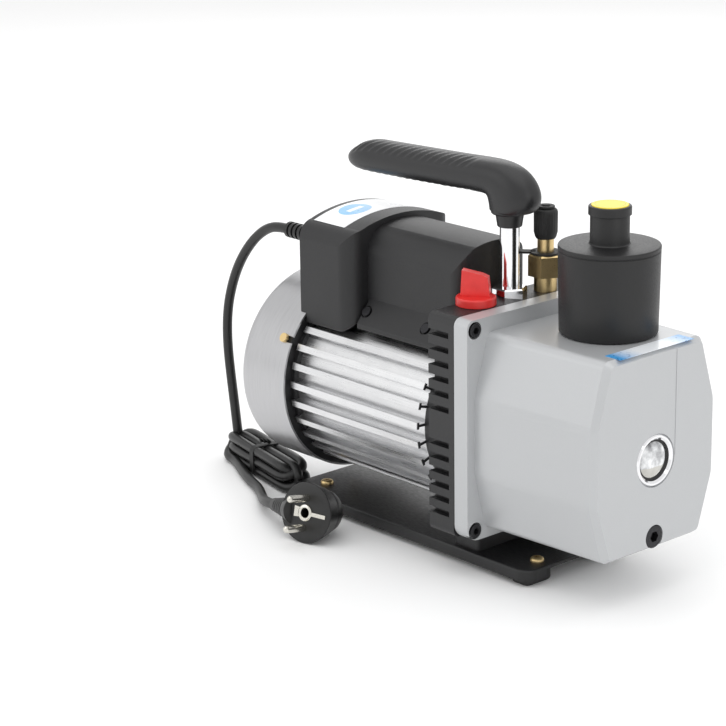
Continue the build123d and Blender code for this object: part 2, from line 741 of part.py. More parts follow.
def box_arch(x, arch, grow):
    """Section of the wiring box: upright sides, round shoulders, a shallow arch on top."""
    half, side_z, shoulder_y, shoulder_z, crest_z = arch
    bulge_y = (half + shoulder_y) / 2 + shoulder_bulge
    bulge_z = (side_z + shoulder_z) / 2 + shoulder_bulge
    with BuildSketch(across(x, 0, 0)) as section:
        with BuildLine():
            ThreePointArc((shoulder_y, shoulder_z), (0, crest_z), (-shoulder_y, shoulder_z))
            for side in (-1, 1):
                shoulder_end = (side * shoulder_y, shoulder_z)
                ThreePointArc((side * half, side_z), (side * bulge_y, bulge_z), shoulder_end)
                Line((side * half, side_z), (side * half, box_foot_z))
            Line((-half, box_foot_z), (half, box_foot_z))
        make_face()
        if grow:
            offset(amount=grow, kind=Kind.INTERSECTION, mode=Mode.REPLACE)
    return section.sketch


def box_skirt(x, grow):
    """Section of the flared skirt that sits on the fins."""
    low_half = skirt_half + grow
    high_half = narrow_half + grow
    high_z = skirt_high + grow
    with BuildSketch(across(x, 0, 0)) as section:
        Polygon(
            (low_half, box_foot_z),
            (low_half, skirt_low),
            (high_half, high_z),
            (-high_half, high_z),
            (-low_half, skirt_low),
            (-low_half, box_foot_z),
            align=None,
        )
    return section.sketch


def box_solid(inset):
    """The wiring box as one block, or the room inside it when an inset is given."""
    wide_length = box_step_x - box_back_x - 2 * inset
    narrow_length = box_front_x - box_step_x - inset
    with BuildPart() as narrow:
        extrude(box_arch(box_step_x - 12, narrow_arch, -inset), amount=narrow_length + 12)
        plan_length = narrow_length + 40
        plan = level(box_foot_z - 5, box_front_x - inset - plan_length / 2)
        slab(plan, 90, plan_length, 2 * (narrow_half - inset), 9 - inset, Mode.INTERSECT)
    with BuildPart() as solid:
        extrude(box_arch(box_back_x + inset, wide_arch, -inset), amount=wide_length)
        # Only the front corners are round, so the rounded block starts behind the back wall
        plan_length = wide_length + 30
        plan = level(box_foot_z - 5, box_step_x - inset - plan_length / 2)
        slab(plan, 90, plan_length, 2 * (wide_half - inset), 11 - inset, Mode.INTERSECT)
        add(narrow.part)
        extrude(box_skirt(box_step_x + 2, -inset), amount=narrow_length - 2)
    return solid.part


# Screw seats in the skirt, square to its slope
slope = Vector(0, skirt_high - skirt_low, skirt_half - narrow_half).normalized()
lug_y = (skirt_half + narrow_half) / 2
lug_z = (skirt_low + skirt_high) / 2
lug_sink = 1.2
lug_planes = []
for lug_x in (box_step_x + 5, box_front_x - 24.8):
    for side in (-1, 1):
        out = (0, side * slope.Y, slope.Z)
        lug_planes.append(Plane(origin=(lug_x, side * lug_y, lug_z), x_dir=(1, 0, 0), z_dir=out))

switch_y = 14.0
switch_z = 172.0
switch_width = 15.0
switch_height = 22.0

with BuildPart() as box_shell:
    add(box_solid(0))
    add(box_solid(box_wall), mode=Mode.SUBTRACT)
    turned(across(box_back_x - 1), cover_front_x + 1.5 - box_back_x, cover_saddle, mode=Mode.SUBTRACT)
    turned(across(cover_front_x), box_front_x - cover_front_x + 1, saddle_radius, mode=Mode.SUBTRACT)
    for lug in lug_planes:
        turned(lug.offset(-lug_sink), lug_sink + 3, 4.2, mode=Mode.SUBTRACT)
        turned(lug.offset(-8), 8, 1.8, mode=Mode.SUBTRACT)
    slab(across(box_back_x - 1, switch_y, switch_z), 5, switch_width, switch_height, mode=Mode.SUBTRACT)
    turned(across(box_back_x - 1, relief_y, relief_z), 5, cord_radius + bolt_gap, mode=Mode.SUBTRACT)
write(box_shell.part, "box_shell")

with BuildPart() as box_screws:
    for lug in lug_planes:
        turned(lug.offset(-lug_sink), 2, 3.2)
        turned(lug.offset(-8), 8 - lug_sink, 1.8)
write(box_screws.part, "box_screws")

with BuildPart() as box_sticker:
    sticker_length = 29.0
    extrude(box_arch(box_back_x + 4, wide_arch, sticker), amount=sticker_length)
    extrude(box_arch(box_back_x + 4, wide_arch, 0), amount=sticker_length, mode=Mode.SUBTRACT)
    split(bisect_by=level(wide_arch[3]), keep=Keep.TOP)
write(box_sticker.part, "box_sticker")

capacitor_radius = 14.0
with BuildPart() as run_capacitor:
    turned(across(box_step_x + 8, 10, 160.5), 60, capacitor_radius)
    fillet(run_capacitor.edges(), 1.5)
write(run_capacitor.part, "run_capacitor")

with BuildPart() as switch_bezel:
    slab(across(box_back_x - 2, switch_y, switch_z), 2, switch_width + 4, switch_height + 4, 1.5)
    slab(across(box_back_x, switch_y, switch_z), 16, switch_width, switch_height)
    well = across(box_back_x - 2, switch_y, switch_z)
    slab(well, 9, switch_width - 3, switch_height - 3, mode=Mode.SUBTRACT)
write(switch_bezel.part, "switch_bezel")

with BuildPart() as switch_rocker:
    rocker_width = switch_width - 3 - 2 * air
    rocker_half = switch_height / 2 - 1.5 - 2 * air
    with BuildSketch(lengthwise(switch_y + rocker_width / 2, box_back_x, switch_z)):
        with BuildLine():
            Polyline((3, -rocker_half + 1.5), (-1.5, -rocker_half), (-3.4, -rocker_half + 0.6), (-2.2, 0))
            Polyline((-2.2, 0), (-3.4, rocker_half - 0.6), (-1.5, rocker_half), (3, rocker_half - 1.5))
            Line((3, rocker_half - 1.5), (3, -rocker_half + 1.5))
        make_face()
    extrude(amount=rocker_width)
write(switch_rocker.part, "switch_rocker")

with BuildPart() as strain_relief:
    turned(across(box_back_x - relief_length, relief_y, relief_z), relief_length, relief_radius)
    for ring in range(7):
        groove_x = box_back_x - relief_length + 2.5 + ring * 4.2
        turned(across(groove_x, relief_y, relief_z), 1.8, relief_radius, 4.3, Mode.SUBTRACT)
    turned(across(box_back_x - 3, relief_y, relief_z), 3, relief_radius + 3)
write(strain_relief.part, "strain_relief")

# ---------------------------------------------------------------- vane pump
with BuildPart() as shaft_seal:
    turned(across(joint_x - seal_length), seal_length, seal_radius, journal_radius + running)
write(shaft_seal.part, "shaft_seal")

exhaust_y = 9.0
inlet_slope = Vector(0, -inlet_y, block_z - port_z)
with BuildPart() as pump_block:
    turned(across(joint_x, 0, block_z), block_length, block_radius, bore_radius)
    slab(across(joint_x, 0, block_flat_z + 10), block_length, 2 * block_radius, 20, mode=Mode.SUBTRACT)
    turned(across(joint_x, inlet_y, port_z), 14, port_radius, mode=Mode.SUBTRACT)
    inlet_drill = Plane(origin=(joint_x + 11, inlet_y, port_z), x_dir=(1, 0, 0), z_dir=inlet_slope)
    turned(inlet_drill, 12, port_radius, mode=Mode.SUBTRACT)
    for step in (-9, 0, 9):
        port = level(block_z + bore_radius - 4, joint_x + block_length / 2 + step, exhaust_y)
        turned(port, 12, 2, mode=Mode.SUBTRACT)
    for angle in pump_bolt_angles:
        bolt_y = pump_bolt_circle * cos(radians(angle))
        bolt_z = block_z + pump_bolt_circle * sin(radians(angle))
        hole = across(joint_x, bolt_y, bolt_z)
        turned(hole, block_length, pump_bolt_radius + bolt_gap, mode=Mode.SUBTRACT)
write(pump_block.part, "pump_block")

plate_x = joint_x + block_length
with BuildPart() as pump_end_plate:
    turned(across(plate_x, 0, block_z), end_plate, block_radius)
    slab(across(plate_x, 0, block_flat_z + 10), end_plate, 2 * block_radius, 20, mode=Mode.SUBTRACT)
    turned(across(plate_x), end_plate, shaft_radius + running, mode=Mode.SUBTRACT)
    for angle in pump_bolt_angles:
        bolt_y = pump_bolt_circle * cos(radians(angle))
        bolt_z = block_z + pump_bolt_circle * sin(radians(angle))
        hole = across(plate_x, bolt_y, bolt_z)
        turned(hole, end_plate, pump_bolt_radius + bolt_gap, mode=Mode.SUBTRACT)
write(pump_end_plate.part, "pump_end_plate")

with BuildPart() as pump_screws:
    for angle in pump_bolt_angles:
        bolt_y = pump_bolt_circle * cos(radians(angle))
        bolt_z = block_z + pump_bolt_circle * sin(radians(angle))
        screw_x = joint_x - stud_depth + 2
        shank = plate_x + end_plate - screw_x
        turned(across(screw_x, bolt_y, bolt_z), shank, pump_bolt_radius)
        turned(across(plate_x + end_plate, bolt_y, bolt_z), 6, 5)
        hexagon(across(plate_x + end_plate + 3, bolt_y, bolt_z), 4, 5, mode=Mode.SUBTRACT)
write(pump_screws.part, "pump_screws")

vane_slot = vane_thickness + 2 * running
with BuildPart() as pump_rotor:
    turned(across(joint_x + running), block_length - 2 * running, rotor_radius)
    for side in (-1, 1):
        slot_middle = side * (vane_root + rotor_radius) / 2
        slot_depth = rotor_radius - vane_root + 1
        slot_face = across(joint_x, slot_middle + side * 0.5)
        slab(slot_face, block_length, slot_depth, vane_slot, mode=Mode.SUBTRACT)
    turned(across(shaft_joint_x + 0.5), joint_x + 1 - shaft_joint_x, journal_radius)
    turned(across(plate_x - running), end_plate + running, shaft_radius)
    for spring_x in (joint_x + 10, joint_x + 30):
        bore = Plane(origin=(spring_x, -vane_root - 1, axis_z), x_dir=(1, 0, 0), z_dir=(0, 1, 0))
        turned(bore, 2 * vane_root + 2, 2.2, mode=Mode.SUBTRACT)
write(pump_rotor.part, "pump_rotor")

vane_length = block_length - 4 * running
for side, name in ((-1, "vane_near"), (1, "vane_far")):
    with BuildPart() as vane:
        vane_middle = side * (vane_root + running + vane_tip) / 2
        vane_face = across(joint_x + 2 * running, vane_middle)
        slab(vane_face, vane_length, vane_tip - vane_root - running, vane_thickness)
        tips = vane.edges().filter_by(Axis.X).group_by(Axis.Y)[-1 if side > 0 else 0]
        fillet(tips, 1.5)
    write(vane.part, name)

with BuildPart() as vane_springs:
    for spring_x in (joint_x + 10, joint_x + 30):
        for coil in range(8):
            coil_y = -vane_root + 0.2 + coil * (2 * vane_root - 0.4) / 8
            ring_face = Plane(origin=(spring_x, coil_y, axis_z), x_dir=(1, 0, 0), z_dir=(0, 1, 0))
            turned(ring_face, 0.8, 2.0, 1.3)
            turned(ring_face, (2 * vane_root - 0.4) / 8, 1.6, 1.3)
write(vane_springs.part, "vane_springs")

reed_x = joint_x + 6.0
reed_width = 10.0
reed_thickness = 0.5
reed_length = 28.0
with BuildPart() as exhaust_reed:
    slab(level(block_flat_z, reed_x + reed_length / 2, exhaust_y), reed_thickness, reed_length, reed_width, 2)
write(exhaust_reed.part, "exhaust_reed")

with BuildPart() as reed_stop:
    with BuildSketch(lengthwise(exhaust_y + 4, reed_x, block_flat_z)):
        with BuildLine():
            Polyline((-5, 0), (-1, 0), (-1, 1.2), (4, 1.2), (reed_length, 5), (reed_length, 6.5))
            Polyline((reed_length, 6.5), (3.5, 2.7), (-5, 2.7), (-5, 0))
        make_face()
    extrude(amount=8)
write(reed_stop.part, "reed_stop")

# ---------------------------------------------------------------- mains lead
# Each point: how far behind the relief's end, across, and up
lead_route = [
    (0, relief_y, relief_z),
    (11.325, relief_y, relief_z),
    (23.825, -20, 170),
    (37.325, -20, 160.5),
    (50.325, -20, 146),
    (60.825, -19.5, 129),
    (68.825, -19, 107),
    (70.825, -18.5, 83),
    (68.625, -18, 59),
    (66.325, -17.3, 38),
    (65.625, -17, hank_height),
]
tail_route = [
    (55.325, -26.2, cord_radius),
    (38.325, -35.2, cord_radius),
    (20.325, -43.8, cord_radius),
    (2.325, -50.2, cord_radius),
    (-13.175, -60, 4.2),
    (-26.175, -69.5, 7.3),
    (-38.875, -76.2, 10.3),
    (-52.175, -79.2, 12.8),
]
lead_points = [(relief_end_x - back, y, z) for back, y, z in lead_route]
tail_points = [(relief_end_x - back, y, z) for back, y, z in tail_route]
plug_out = Vector(0.19, -0.95, 0.235).normalized()
plug_side = Vector(0.981, 0.194, 0)
plug_centre = Vector(relief_end_x + 88.075, -86.1, 18.95)
plug_radius = 19.5
plug_depth = 23.0
plug_back_radius = 13.3
neck_length = 22.0
pin_pitch = 19.0
pin_radius = 2.4
pin_length = 19.0


def cord_run(points):
    """A round cord along straight runs joined by the largest even arcs they allow."""
    radii = []
    for before, here, after in zip(points, points[1:], points[2:]):
        arriving = Vector(*here) - Vector(*before)
        leaving = Vector(*after) - Vector(*here)
        turn = arriving.get_angle(leaving)
        radii.append(0.45 * min(arriving.length, leaving.length) / tan(radians(turn / 2)))
    print("cord radii", [round(radius) for radius in radii])
    with BuildPart() as cord:
        with BuildLine() as path:
            FilletPolyline(*points, radius=radii)
        with BuildSketch(Plane(origin=points[0], z_dir=path.line % 0)):
            Circle(cord_radius)
        sweep()
    section_length = cord.part.volume / (pi * cord_radius**2)
    print("cord path", round(path.wire().length, 1), "volume over section", round(section_length, 1))
    return cord.part


write(cord_run(lead_points), "cord_lead")
write(cord_run(tail_points), "cord_tail")

hank_run = Vector(*hank_end) - Vector(*hank_start)
hank_way = hank_run.normalized()
hank_middle = (Vector(*hank_start) + Vector(*hank_end)) * 0.5
hank_plane = Plane(origin=hank_middle, x_dir=hank_way, z_dir=(0, 0, 1))
hank_length = hank_run.length + 2 * hank_half_width
tie_centre = hank_middle - hank_way * (tie_width / 2) + Vector(0, 0, hank_height / 2)
tie_face = Plane(origin=tie_centre, x_dir=(0, 0, 1), z_dir=hank_way)

with BuildPart() as cord_hank:
    with BuildSketch(hank_plane):
        SlotOverall(hank_length, 2 * hank_half_width)
    extrude(amount=hank_height)
    fillet(cord_hank.faces().filter_by(Axis.Z).edges(), 3)
    with BuildSketch(tie_face):
        Rectangle(hank_height + 2, 2 * hank_half_width + 2)
        Rectangle(hank_height - 2 * tie_depth, 2 * hank_half_width - 2 * tie_depth, mode=Mode.SUBTRACT)
    extrude(amount=tie_width, mode=Mode.SUBTRACT)
write(cord_hank.part, "cord_hank")

with BuildPart() as cord_tie:
    with BuildSketch(tie_face):
        RectangleRounded(hank_height, 2 * hank_half_width, 2)
        Rectangle(hank_height - 2 * tie_depth, 2 * hank_half_width - 2 * tie_depth, mode=Mode.SUBTRACT)
    extrude(amount=tie_width)
write(cord_tie.part, "cord_tie")

# ---------------------------------------------------------------- mains plug
plug_face = Plane(origin=plug_centre, x_dir=plug_side, z_dir=plug_out)
neck_way = Vector(*tail_points[-1]) - Vector(*tail_points[-2])
neck_tip = Plane(origin=tail_points[-1], z_dir=neck_way)
with BuildPart() as plug_body:
    with BuildSketch(plug_face) as front:
        Circle(plug_radius)
    with BuildSketch(plug_face.offset(-plug_depth)) as back:
        Circle(plug_back_radius)
    loft([front.sketch, back.sketch])
    fillet(plug_body.faces().sort_by(Axis.Y)[-1].edges(), 2.5)
    with BuildSketch(neck_tip) as tip:
        Circle(4.6)
    with BuildSketch(neck_tip.offset(neck_length)) as root:
        Circle(7.5)
    loft([tip.sketch, root.sketch])
    turned(plug_face.offset(-12), 13, 3, mode=Mode.SUBTRACT)
write(plug_body.part, "plug_body")

with BuildPart() as plug_pins:
    for side in (-1, 1):
        pin_foot = plug_face.origin + plug_face.y_dir * (side * pin_pitch / 2)
        turned(Plane(origin=pin_foot, x_dir=plug_face.x_dir, z_dir=plug_out), pin_length, pin_radius)
    fillet(plug_pins.faces().sort_by(Axis.Y)[0].edges(), 1.2)
write(plug_pins.part, "plug_pins")
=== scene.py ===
# %% [markdown]
# A rotary vane vacuum pump, finished in Blender round its CAD frame.
# The frame holds every solid of the pump in metres, with X along the shaft, so each
# new piece is placed by the same numbers. Hard metal and moulded shapes stay as they
# are and get a finish. The cord, the grip, the plug and the small soft pieces are
# made again here, because a plain solid can't show their surface.

# %% Frame
import json
from math import cos, pi, radians, sin

import bpy
from mathutils import Matrix, Vector


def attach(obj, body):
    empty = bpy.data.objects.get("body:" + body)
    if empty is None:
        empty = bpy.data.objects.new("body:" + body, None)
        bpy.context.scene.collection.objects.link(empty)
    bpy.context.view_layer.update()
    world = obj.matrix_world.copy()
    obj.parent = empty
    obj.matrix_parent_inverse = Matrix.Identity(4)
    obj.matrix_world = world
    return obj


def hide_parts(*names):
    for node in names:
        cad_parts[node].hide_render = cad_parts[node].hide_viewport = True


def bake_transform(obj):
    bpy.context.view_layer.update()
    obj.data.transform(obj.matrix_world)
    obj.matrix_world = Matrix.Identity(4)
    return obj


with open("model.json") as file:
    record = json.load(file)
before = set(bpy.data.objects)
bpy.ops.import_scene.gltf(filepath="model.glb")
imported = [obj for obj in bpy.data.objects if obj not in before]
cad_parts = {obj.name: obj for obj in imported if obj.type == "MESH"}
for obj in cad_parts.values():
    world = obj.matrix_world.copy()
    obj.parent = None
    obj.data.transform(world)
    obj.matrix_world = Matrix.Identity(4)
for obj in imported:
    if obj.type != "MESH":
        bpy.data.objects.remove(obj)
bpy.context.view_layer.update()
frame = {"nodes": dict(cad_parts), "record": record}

# %% Lengths shared by the pieces, in metres
mm = 0.001
joint_x = 46.325 * mm
case_front_x = 151.025 * mm
box_back_x = -110.675 * mm
shell_front_x = 13.175 * mm
post_x = joint_x - 11 * mm
post_y = -3.5 * mm
filter_x = joint_x + 60 * mm
filter_y = 6.8 * mm
inlet_x = joint_x - 7 * mm
inlet_y = 23 * mm
sight_z = 85.1 * mm
cord_radius = 3.3 * mm
print("oil case front at", case_front_x)

# %% [markdown]
# The camera looks at the front left corner of the pump from a little above, through a
# long lens, so that upright edges stay nearly upright. It is set from three angles
# instead of by a Track To constraint, because the view also leans by under a degree.

# %% Camera
camera_turn = radians(48.55)
camera_rise = radians(16.85)
camera_lean = radians(-0.87)
camera_spot = (1.0538, -1.0208, 0.5561)
camera_data = bpy.data.cameras.new("studio_camera")
camera_data.lens = 123.4
camera_data.sensor_width = 36
camera_data.clip_start = 0.05
camera = bpy.data.objects.new("studio_camera", camera_data)
bpy.context.scene.collection.objects.link(camera)

back = Vector((
    sin(camera_turn) * cos(camera_rise), -cos(camera_turn) * cos(camera_rise), sin(camera_rise)))
level_right = Vector((cos(camera_turn), sin(camera_turn), 0))
upright = back.cross(level_right)
right = level_right * cos(camera_lean) + upright * sin(camera_lean)
up = upright * cos(camera_lean) - level_right * sin(camera_lean)
camera_turned = Matrix((right, up, back)).transposed().to_4x4()
camera.matrix_world = Matrix.Translation(camera_spot) @ camera_turned
bpy.context.scene.camera = camera
print("camera at", [round(number, 3) for number in camera.location])

# %% [markdown]
# Shader maths reads best as plain sums. A Wire holds one output socket of a material,
# and its operators add Math nodes. Numbers alone never come here: Python works them
# out. Every other node comes from one method of Finish, which sets the node's options
# first and then fills or links its sockets.


# %% Wires and finishes
class Wire:
    """One output socket of a material, with arithmetic."""

    def __init__(self, owner, socket):
        self.owner = owner
        self.socket = socket

    def _sum(self, operation, first, second):
        return self.owner.node("ShaderNodeMath", {"operation": operation}, {0: first, 1: second})

    def __add__(self, other):
        return self._sum("ADD", self, other)

    def __sub__(self, other):
        return self._sum("SUBTRACT", self, other)

    def __rsub__(self, other):
        return self._sum("SUBTRACT", other, self)

    def __mul__(self, other):
        return self._sum("MULTIPLY", self, other)

    def __gt__(self, other):
        return self._sum("GREATER_THAN", self, other)

    def __lt__(self, other):
        return self._sum("LESS_THAN", self, other)

    def root(self):
        return self._sum("SQRT", self, 0)

    __radd__ = __add__
    __rmul__ = __mul__


class Finish:
    """A material under construction, with one Principled shader."""

    def __init__(self, name, colour, roughness, **constants):
        self.material = bpy.data.materials.new(name)
        self.material.use_nodes = True
        self.tree = self.material.node_tree
        self.shader = self.tree.nodes["Principled BSDF"]
        self.put("Base Color", colour)
        self.put("Roughness", roughness)
        for socket, value in constants.items():
            self.put(socket.replace("_", " "), value)
        self._place = None

    def node(self, kind, options=None, inputs=None, output=0):
        """Add a node, set its options, fill its sockets, and hand back one of its outputs."""
        made = self.tree.nodes.new(kind)
        for option, value in (options or {}).items():
            if option == "stops":
                stops = made.color_ramp.elements
                while len(stops) < len(value):
                    stops.new(0.5)
                for stop, (position, colour) in zip(stops, value):
                    stop.position = position
                    stop.color = (*colour, 1)
            else:
                setattr(made, option, value)
        for socket, value in (inputs or {}).items():
            self._fill(made.inputs[socket], value)
        return Wire(self, made.outputs[output])

    def _fill(self, socket, value):
        if isinstance(value, Wire):
            self.tree.links.new(value.socket, socket)
        elif socket.type == "RGBA":
            socket.default_value = (*value[:3], 1)
        else:
            socket.default_value = value

    def put(self, socket, value):
        """Fill one socket of the shader itself."""
        self._fill(self.shader.inputs[socket], value)

    def place(self, scale=(1, 1, 1)):
        """Where a point is on the piece, in metres, stretched by a scale."""
        if self._place is None:
            self._place = self.node("ShaderNodeTexCoord", output="Object")
        if scale == (1, 1, 1):
            return self._place
        return self.node("ShaderNodeVectorMath", {"operation": "MULTIPLY"}, {0: self._place, 1: scale})

    def axes(self):
        """The three coordinates of a point, each as a wire."""
        split = self.node("ShaderNodeSeparateXYZ", inputs={0: self.place()})
        return [Wire(self, split.socket.node.outputs[axis]) for axis in range(3)]

    def grain(self, scale, detail=3, stretch=(1, 1, 1)):
        """Soft noise with a feature about 1 / scale metres long, from 0 to 1."""
        return self.node("ShaderNodeTexNoise", inputs={
            "Vector": self.place(stretch), "Scale": scale, "Detail": detail, "Roughness": 0.55})

    def mix(self, share, first, second):
        """One colour fading into another."""
        return self.node("ShaderNodeMix", {"data_type": "RGBA"}, {0: share, 6: first, 7: second}, 2)

    def ramp(self, wire, *stops):
        """A number turned into a colour by stops."""
        return self.node("ShaderNodeValToRGB", {"stops": stops}, {0: wire})

    def spread(self, wire, low, high, new_low, new_high):
        """A number moved from one range to another, and held inside it."""
        return self.node("ShaderNodeMapRange", {"clamp": True}, {
            0: wire, 1: low, 2: high, 3: new_low, 4: new_high})

    def bump(self, height, strength, depth):
        """Small relief, with its depth in metres."""
        bump = self.node("ShaderNodeBump", inputs={
            "Height": height, "Strength": strength, "Distance": depth})
        self.put("Normal", bump)


finishes = {}


def keep(slot, finish):
    """File a finish under the record's material slot."""
    finishes[slot] = finish.material
    print("finish", slot, "has", len(finish.tree.nodes), "nodes")
    return finish


# %% [markdown]
# The oil case is cast aluminium under silver paint. The paint has fine metal flakes,
# a slight waviness, and a clear top layer that gives soft highlights, so the flakes
# go to colour, the waviness to bump, and the top layer to Coat.

# %% Silver paint
silver = keep("silver_paint", Finish(
    "silver_paint", (0.6, 0.61, 0.62), 0.36, Metallic=0.25, Coat_Weight=0.35, Coat_Roughness=0.22))
flakes = silver.grain(5200, 1)
clouds = silver.grain(22, 2)
silver.put("Base Color", silver.mix(flakes * 0.7 + clouds * 0.3, (0.43, 0.44, 0.45), (0.55, 0.56, 0.57)))
silver.put("Roughness", silver.spread(clouds, 0.3, 0.7, 0.32, 0.44))
silver.bump(silver.grain(140, 2) * 0.7 + silver.grain(900, 1) * 0.3, 0.12, 0.0006)

# %% [markdown]
# The bracket and the rear end shield are castings in satin black. Sand casting leaves
# a fine pebbled skin under the paint. The tray is pressed sheet, so it is smoother.

# %% Black paints
casting = keep("black_casting", Finish("black_casting", (0.022, 0.022, 0.024), 0.42, Specular_IOR_Level=0.5))
pebbles = casting.grain(1100, 3)
casting.put("Base Color", casting.mix(pebbles, (0.008, 0.008, 0.009), (0.022, 0.022, 0.023)))
casting.put("Roughness", casting.spread(pebbles, 0.3, 0.7, 0.34, 0.52))
casting.bump(pebbles, 0.3, 0.0004)

tray = keep("black_tray", Finish("black_tray", (0.012, 0.012, 0.013), 0.4))
scuffs = tray.grain(260, 4, (1, 4, 1))
tray.put("Base Color", tray.mix(scuffs, (0.006, 0.006, 0.006), (0.014, 0.014, 0.015)))
tray.put("Roughness", tray.spread(scuffs, 0.35, 0.7, 0.32, 0.5))
tray.bump(tray.grain(1600, 2), 0.15, 0.0002)

oxide = keep("black_steel", Finish("black_steel", (0.02, 0.02, 0.022), 0.38, Metallic=0.7))
oxide_wear = oxide.grain(1500, 3)
oxide.put("Base Color", oxide.mix(oxide_wear, (0.012, 0.012, 0.013), (0.05, 0.05, 0.055)))
oxide.put("Roughness", oxide.spread(oxide_wear, 0.3, 0.7, 0.3, 0.48))

# %% [markdown]
# The motor shell is an aluminium extrusion left bare. Its die draws fine lines along
# the fins, so the noise is stretched along X. The fin ends next to the bracket are
# drawn dark and not metal, so colour and metal change there at one height of X.

# %% Bare aluminium
aluminium = keep("aluminium", Finish("aluminium", (0.78, 0.78, 0.79), 0.3, Metallic=1.0))
die_lines = aluminium.grain(2600, 2, (0.02, 1, 1))
tarnish = aluminium.grain(70, 3)
along = aluminium.axes()[0]
# The fin ends next to the bracket, drawn dark and not metal.
dark_fin_ends = (along > shell_front_x - 0.6 * mm) * (along < joint_x)
metal_colour = aluminium.mix(die_lines * 0.6 + tarnish * 0.4, (0.58, 0.585, 0.6), (0.88, 0.88, 0.88))
aluminium.put("Base Color", aluminium.mix(dark_fin_ends, metal_colour, (0.03, 0.03, 0.032)))
aluminium.put("Metallic", 1 - dark_fin_ends)
aluminium.put("Roughness", aluminium.spread(die_lines, 0.3, 0.7, 0.24, 0.4))
aluminium.bump(die_lines, 0.2, 0.0002)

cover_metal = Finish("fan_cover_metal", (0.66, 0.66, 0.67), 0.34, Metallic=1.0)
brushing = cover_metal.grain(2200, 2, (1, 0.03, 0.03))
cover_metal.put("Base Color", cover_metal.mix(brushing, (0.42, 0.42, 0.43), (0.58, 0.58, 0.59)))
cover_metal.put("Roughness", cover_metal.spread(brushing, 0.3, 0.7, 0.28, 0.42))
cover_metal.bump(brushing, 0.12, 0.0001)

# %% [markdown]
# Moulded plastic looks alive because of its spark-eroded grain. It is a bump a tenth
# of a millimetre deep with features near a millimetre. The grip's plastic is smoother
# and glossier than the wiring box's, and the filter's is the darkest.


# %% Moulded plastics
def moulded(name, dark, light, gloss, size, depth):
    """A moulded plastic with eroded grain, lighter on the tips."""
    made = Finish(name, dark, gloss)
    texture = made.grain(size, 2)
    drift = made.grain(30, 2)
    made.put("Base Color", made.mix(texture * 0.5 + drift * 0.5, dark, light))
    made.put("Roughness", made.spread(texture, 0.3, 0.7, gloss - 0.05, gloss + 0.07))
    made.bump(texture, 0.35, depth)
    return made


keep("black_plastic", moulded("black_plastic", (0.007, 0.007, 0.008), (0.018, 0.018, 0.019), 0.46, 1300, 0.00025))
filter_plastic = moulded("filter_plastic", (0.005, 0.005, 0.005), (0.01, 0.01, 0.011), 0.44, 900, 0.0001)
grip_plastic = moulded("grip_plastic", (0.008, 0.008, 0.009), (0.015, 0.015, 0.016), 0.38, 1500, 0.0001)
keep("rubber", moulded("rubber", (0.008, 0.008, 0.008), (0.016, 0.016, 0.016), 0.6, 1800, 0.0002))
keep("cord_black", moulded("cord_black", (0.006, 0.006, 0.006), (0.012, 0.012, 0.012), 0.36, 1400, 0.00008))
keep("capacitor_can", moulded("capacitor_can", (0.6, 0.6, 0.58), (0.7, 0.7, 0.68), 0.4, 800, 0.0001))

# %% [markdown]
# Polished steel, brass and the machined metals inside differ in colour, in gloss and
# in how their tool marks run. One helper makes them all from those three choices.


# %% Machined metals
def machined(name, dark, light, gloss, stretch=(1, 1, 1), relief=0.04):
    """Bare metal with fine tool marks."""
    made = Finish(name, light, gloss, Metallic=1.0)
    marks = made.grain(1700, 3, stretch)
    made.put("Base Color", made.mix(marks, dark, light))
    made.put("Roughness", made.spread(marks, 0.3, 0.7, gloss * 0.75, gloss * 1.35))
    made.bump(marks, relief, 0.00005)
    return made


keep("chrome", machined("chrome", (0.82, 0.82, 0.84), (0.92, 0.92, 0.93), 0.06))
keep("brass", machined("brass", (0.7, 0.52, 0.25), (0.78, 0.6, 0.31), 0.36, relief=0.008))
keep("steel", machined("steel", (0.42, 0.42, 0.43), (0.62, 0.62, 0.63), 0.28, (0.1, 1, 1)))
keep("iron", machined("iron", (0.2, 0.2, 0.21), (0.34, 0.34, 0.35), 0.45))
nickel = machined("nickel", (0.6, 0.58, 0.52), (0.8, 0.78, 0.72), 0.2)

# %% Coloured plastics and small materials
red = keep("red", Finish("red", (0.72, 0.02, 0.02), 0.38, Coat_Weight=0.15))
red_drift = red.grain(160, 3)
red.put("Base Color", red.mix(red_drift, (0.62, 0.015, 0.014), (0.82, 0.04, 0.035)))
red.bump(red.grain(1500, 2), 0.2, 0.0002)

yellow = keep("yellow", Finish("yellow", (0.9, 0.7, 0.05), 0.42))
yellow_x, yellow_y, _ = yellow.axes()
off_x, off_y = yellow_x - filter_x, yellow_y - filter_y
from_middle = (off_x * off_x + off_y * off_y).root()
rim_line = (from_middle > 8.6 * mm) * (from_middle < 9.0 * mm)
yellow.put("Base Color", yellow.mix(rim_line, (0.9, 0.7, 0.06), (0.55, 0.4, 0.03)))
yellow.bump(yellow.grain(500, 2), 0.2, 0.0003)

wire_finish = keep("enamelled_wire", Finish("enamelled_wire", (0.45, 0.16, 0.05), 0.3, Coat_Weight=0.5))
strands = wire_finish.grain(900, 2, (0.2, 1, 1))
wire_finish.put("Base Color", wire_finish.mix(strands, (0.3, 0.09, 0.03), (0.55, 0.22, 0.08)))
wire_finish.bump(strands, 0.5, 0.0006)

vane_finish = keep("vane_composite", Finish("vane_composite", (0.22, 0.14, 0.08), 0.5))
layers = vane_finish.grain(1200, 3, (0.1, 0.1, 1))
vane_finish.put("Base Color", vane_finish.mix(layers, (0.14, 0.09, 0.05), (0.3, 0.2, 0.12)))

felt = keep("filter_media", Finish("filter_media", (0.75, 0.72, 0.64), 0.9))
fibres = felt.grain(1800, 4)
felt.put("Base Color", felt.mix(fibres, (0.6, 0.58, 0.5), (0.85, 0.82, 0.75)))
felt.bump(fibres, 0.6, 0.0006)

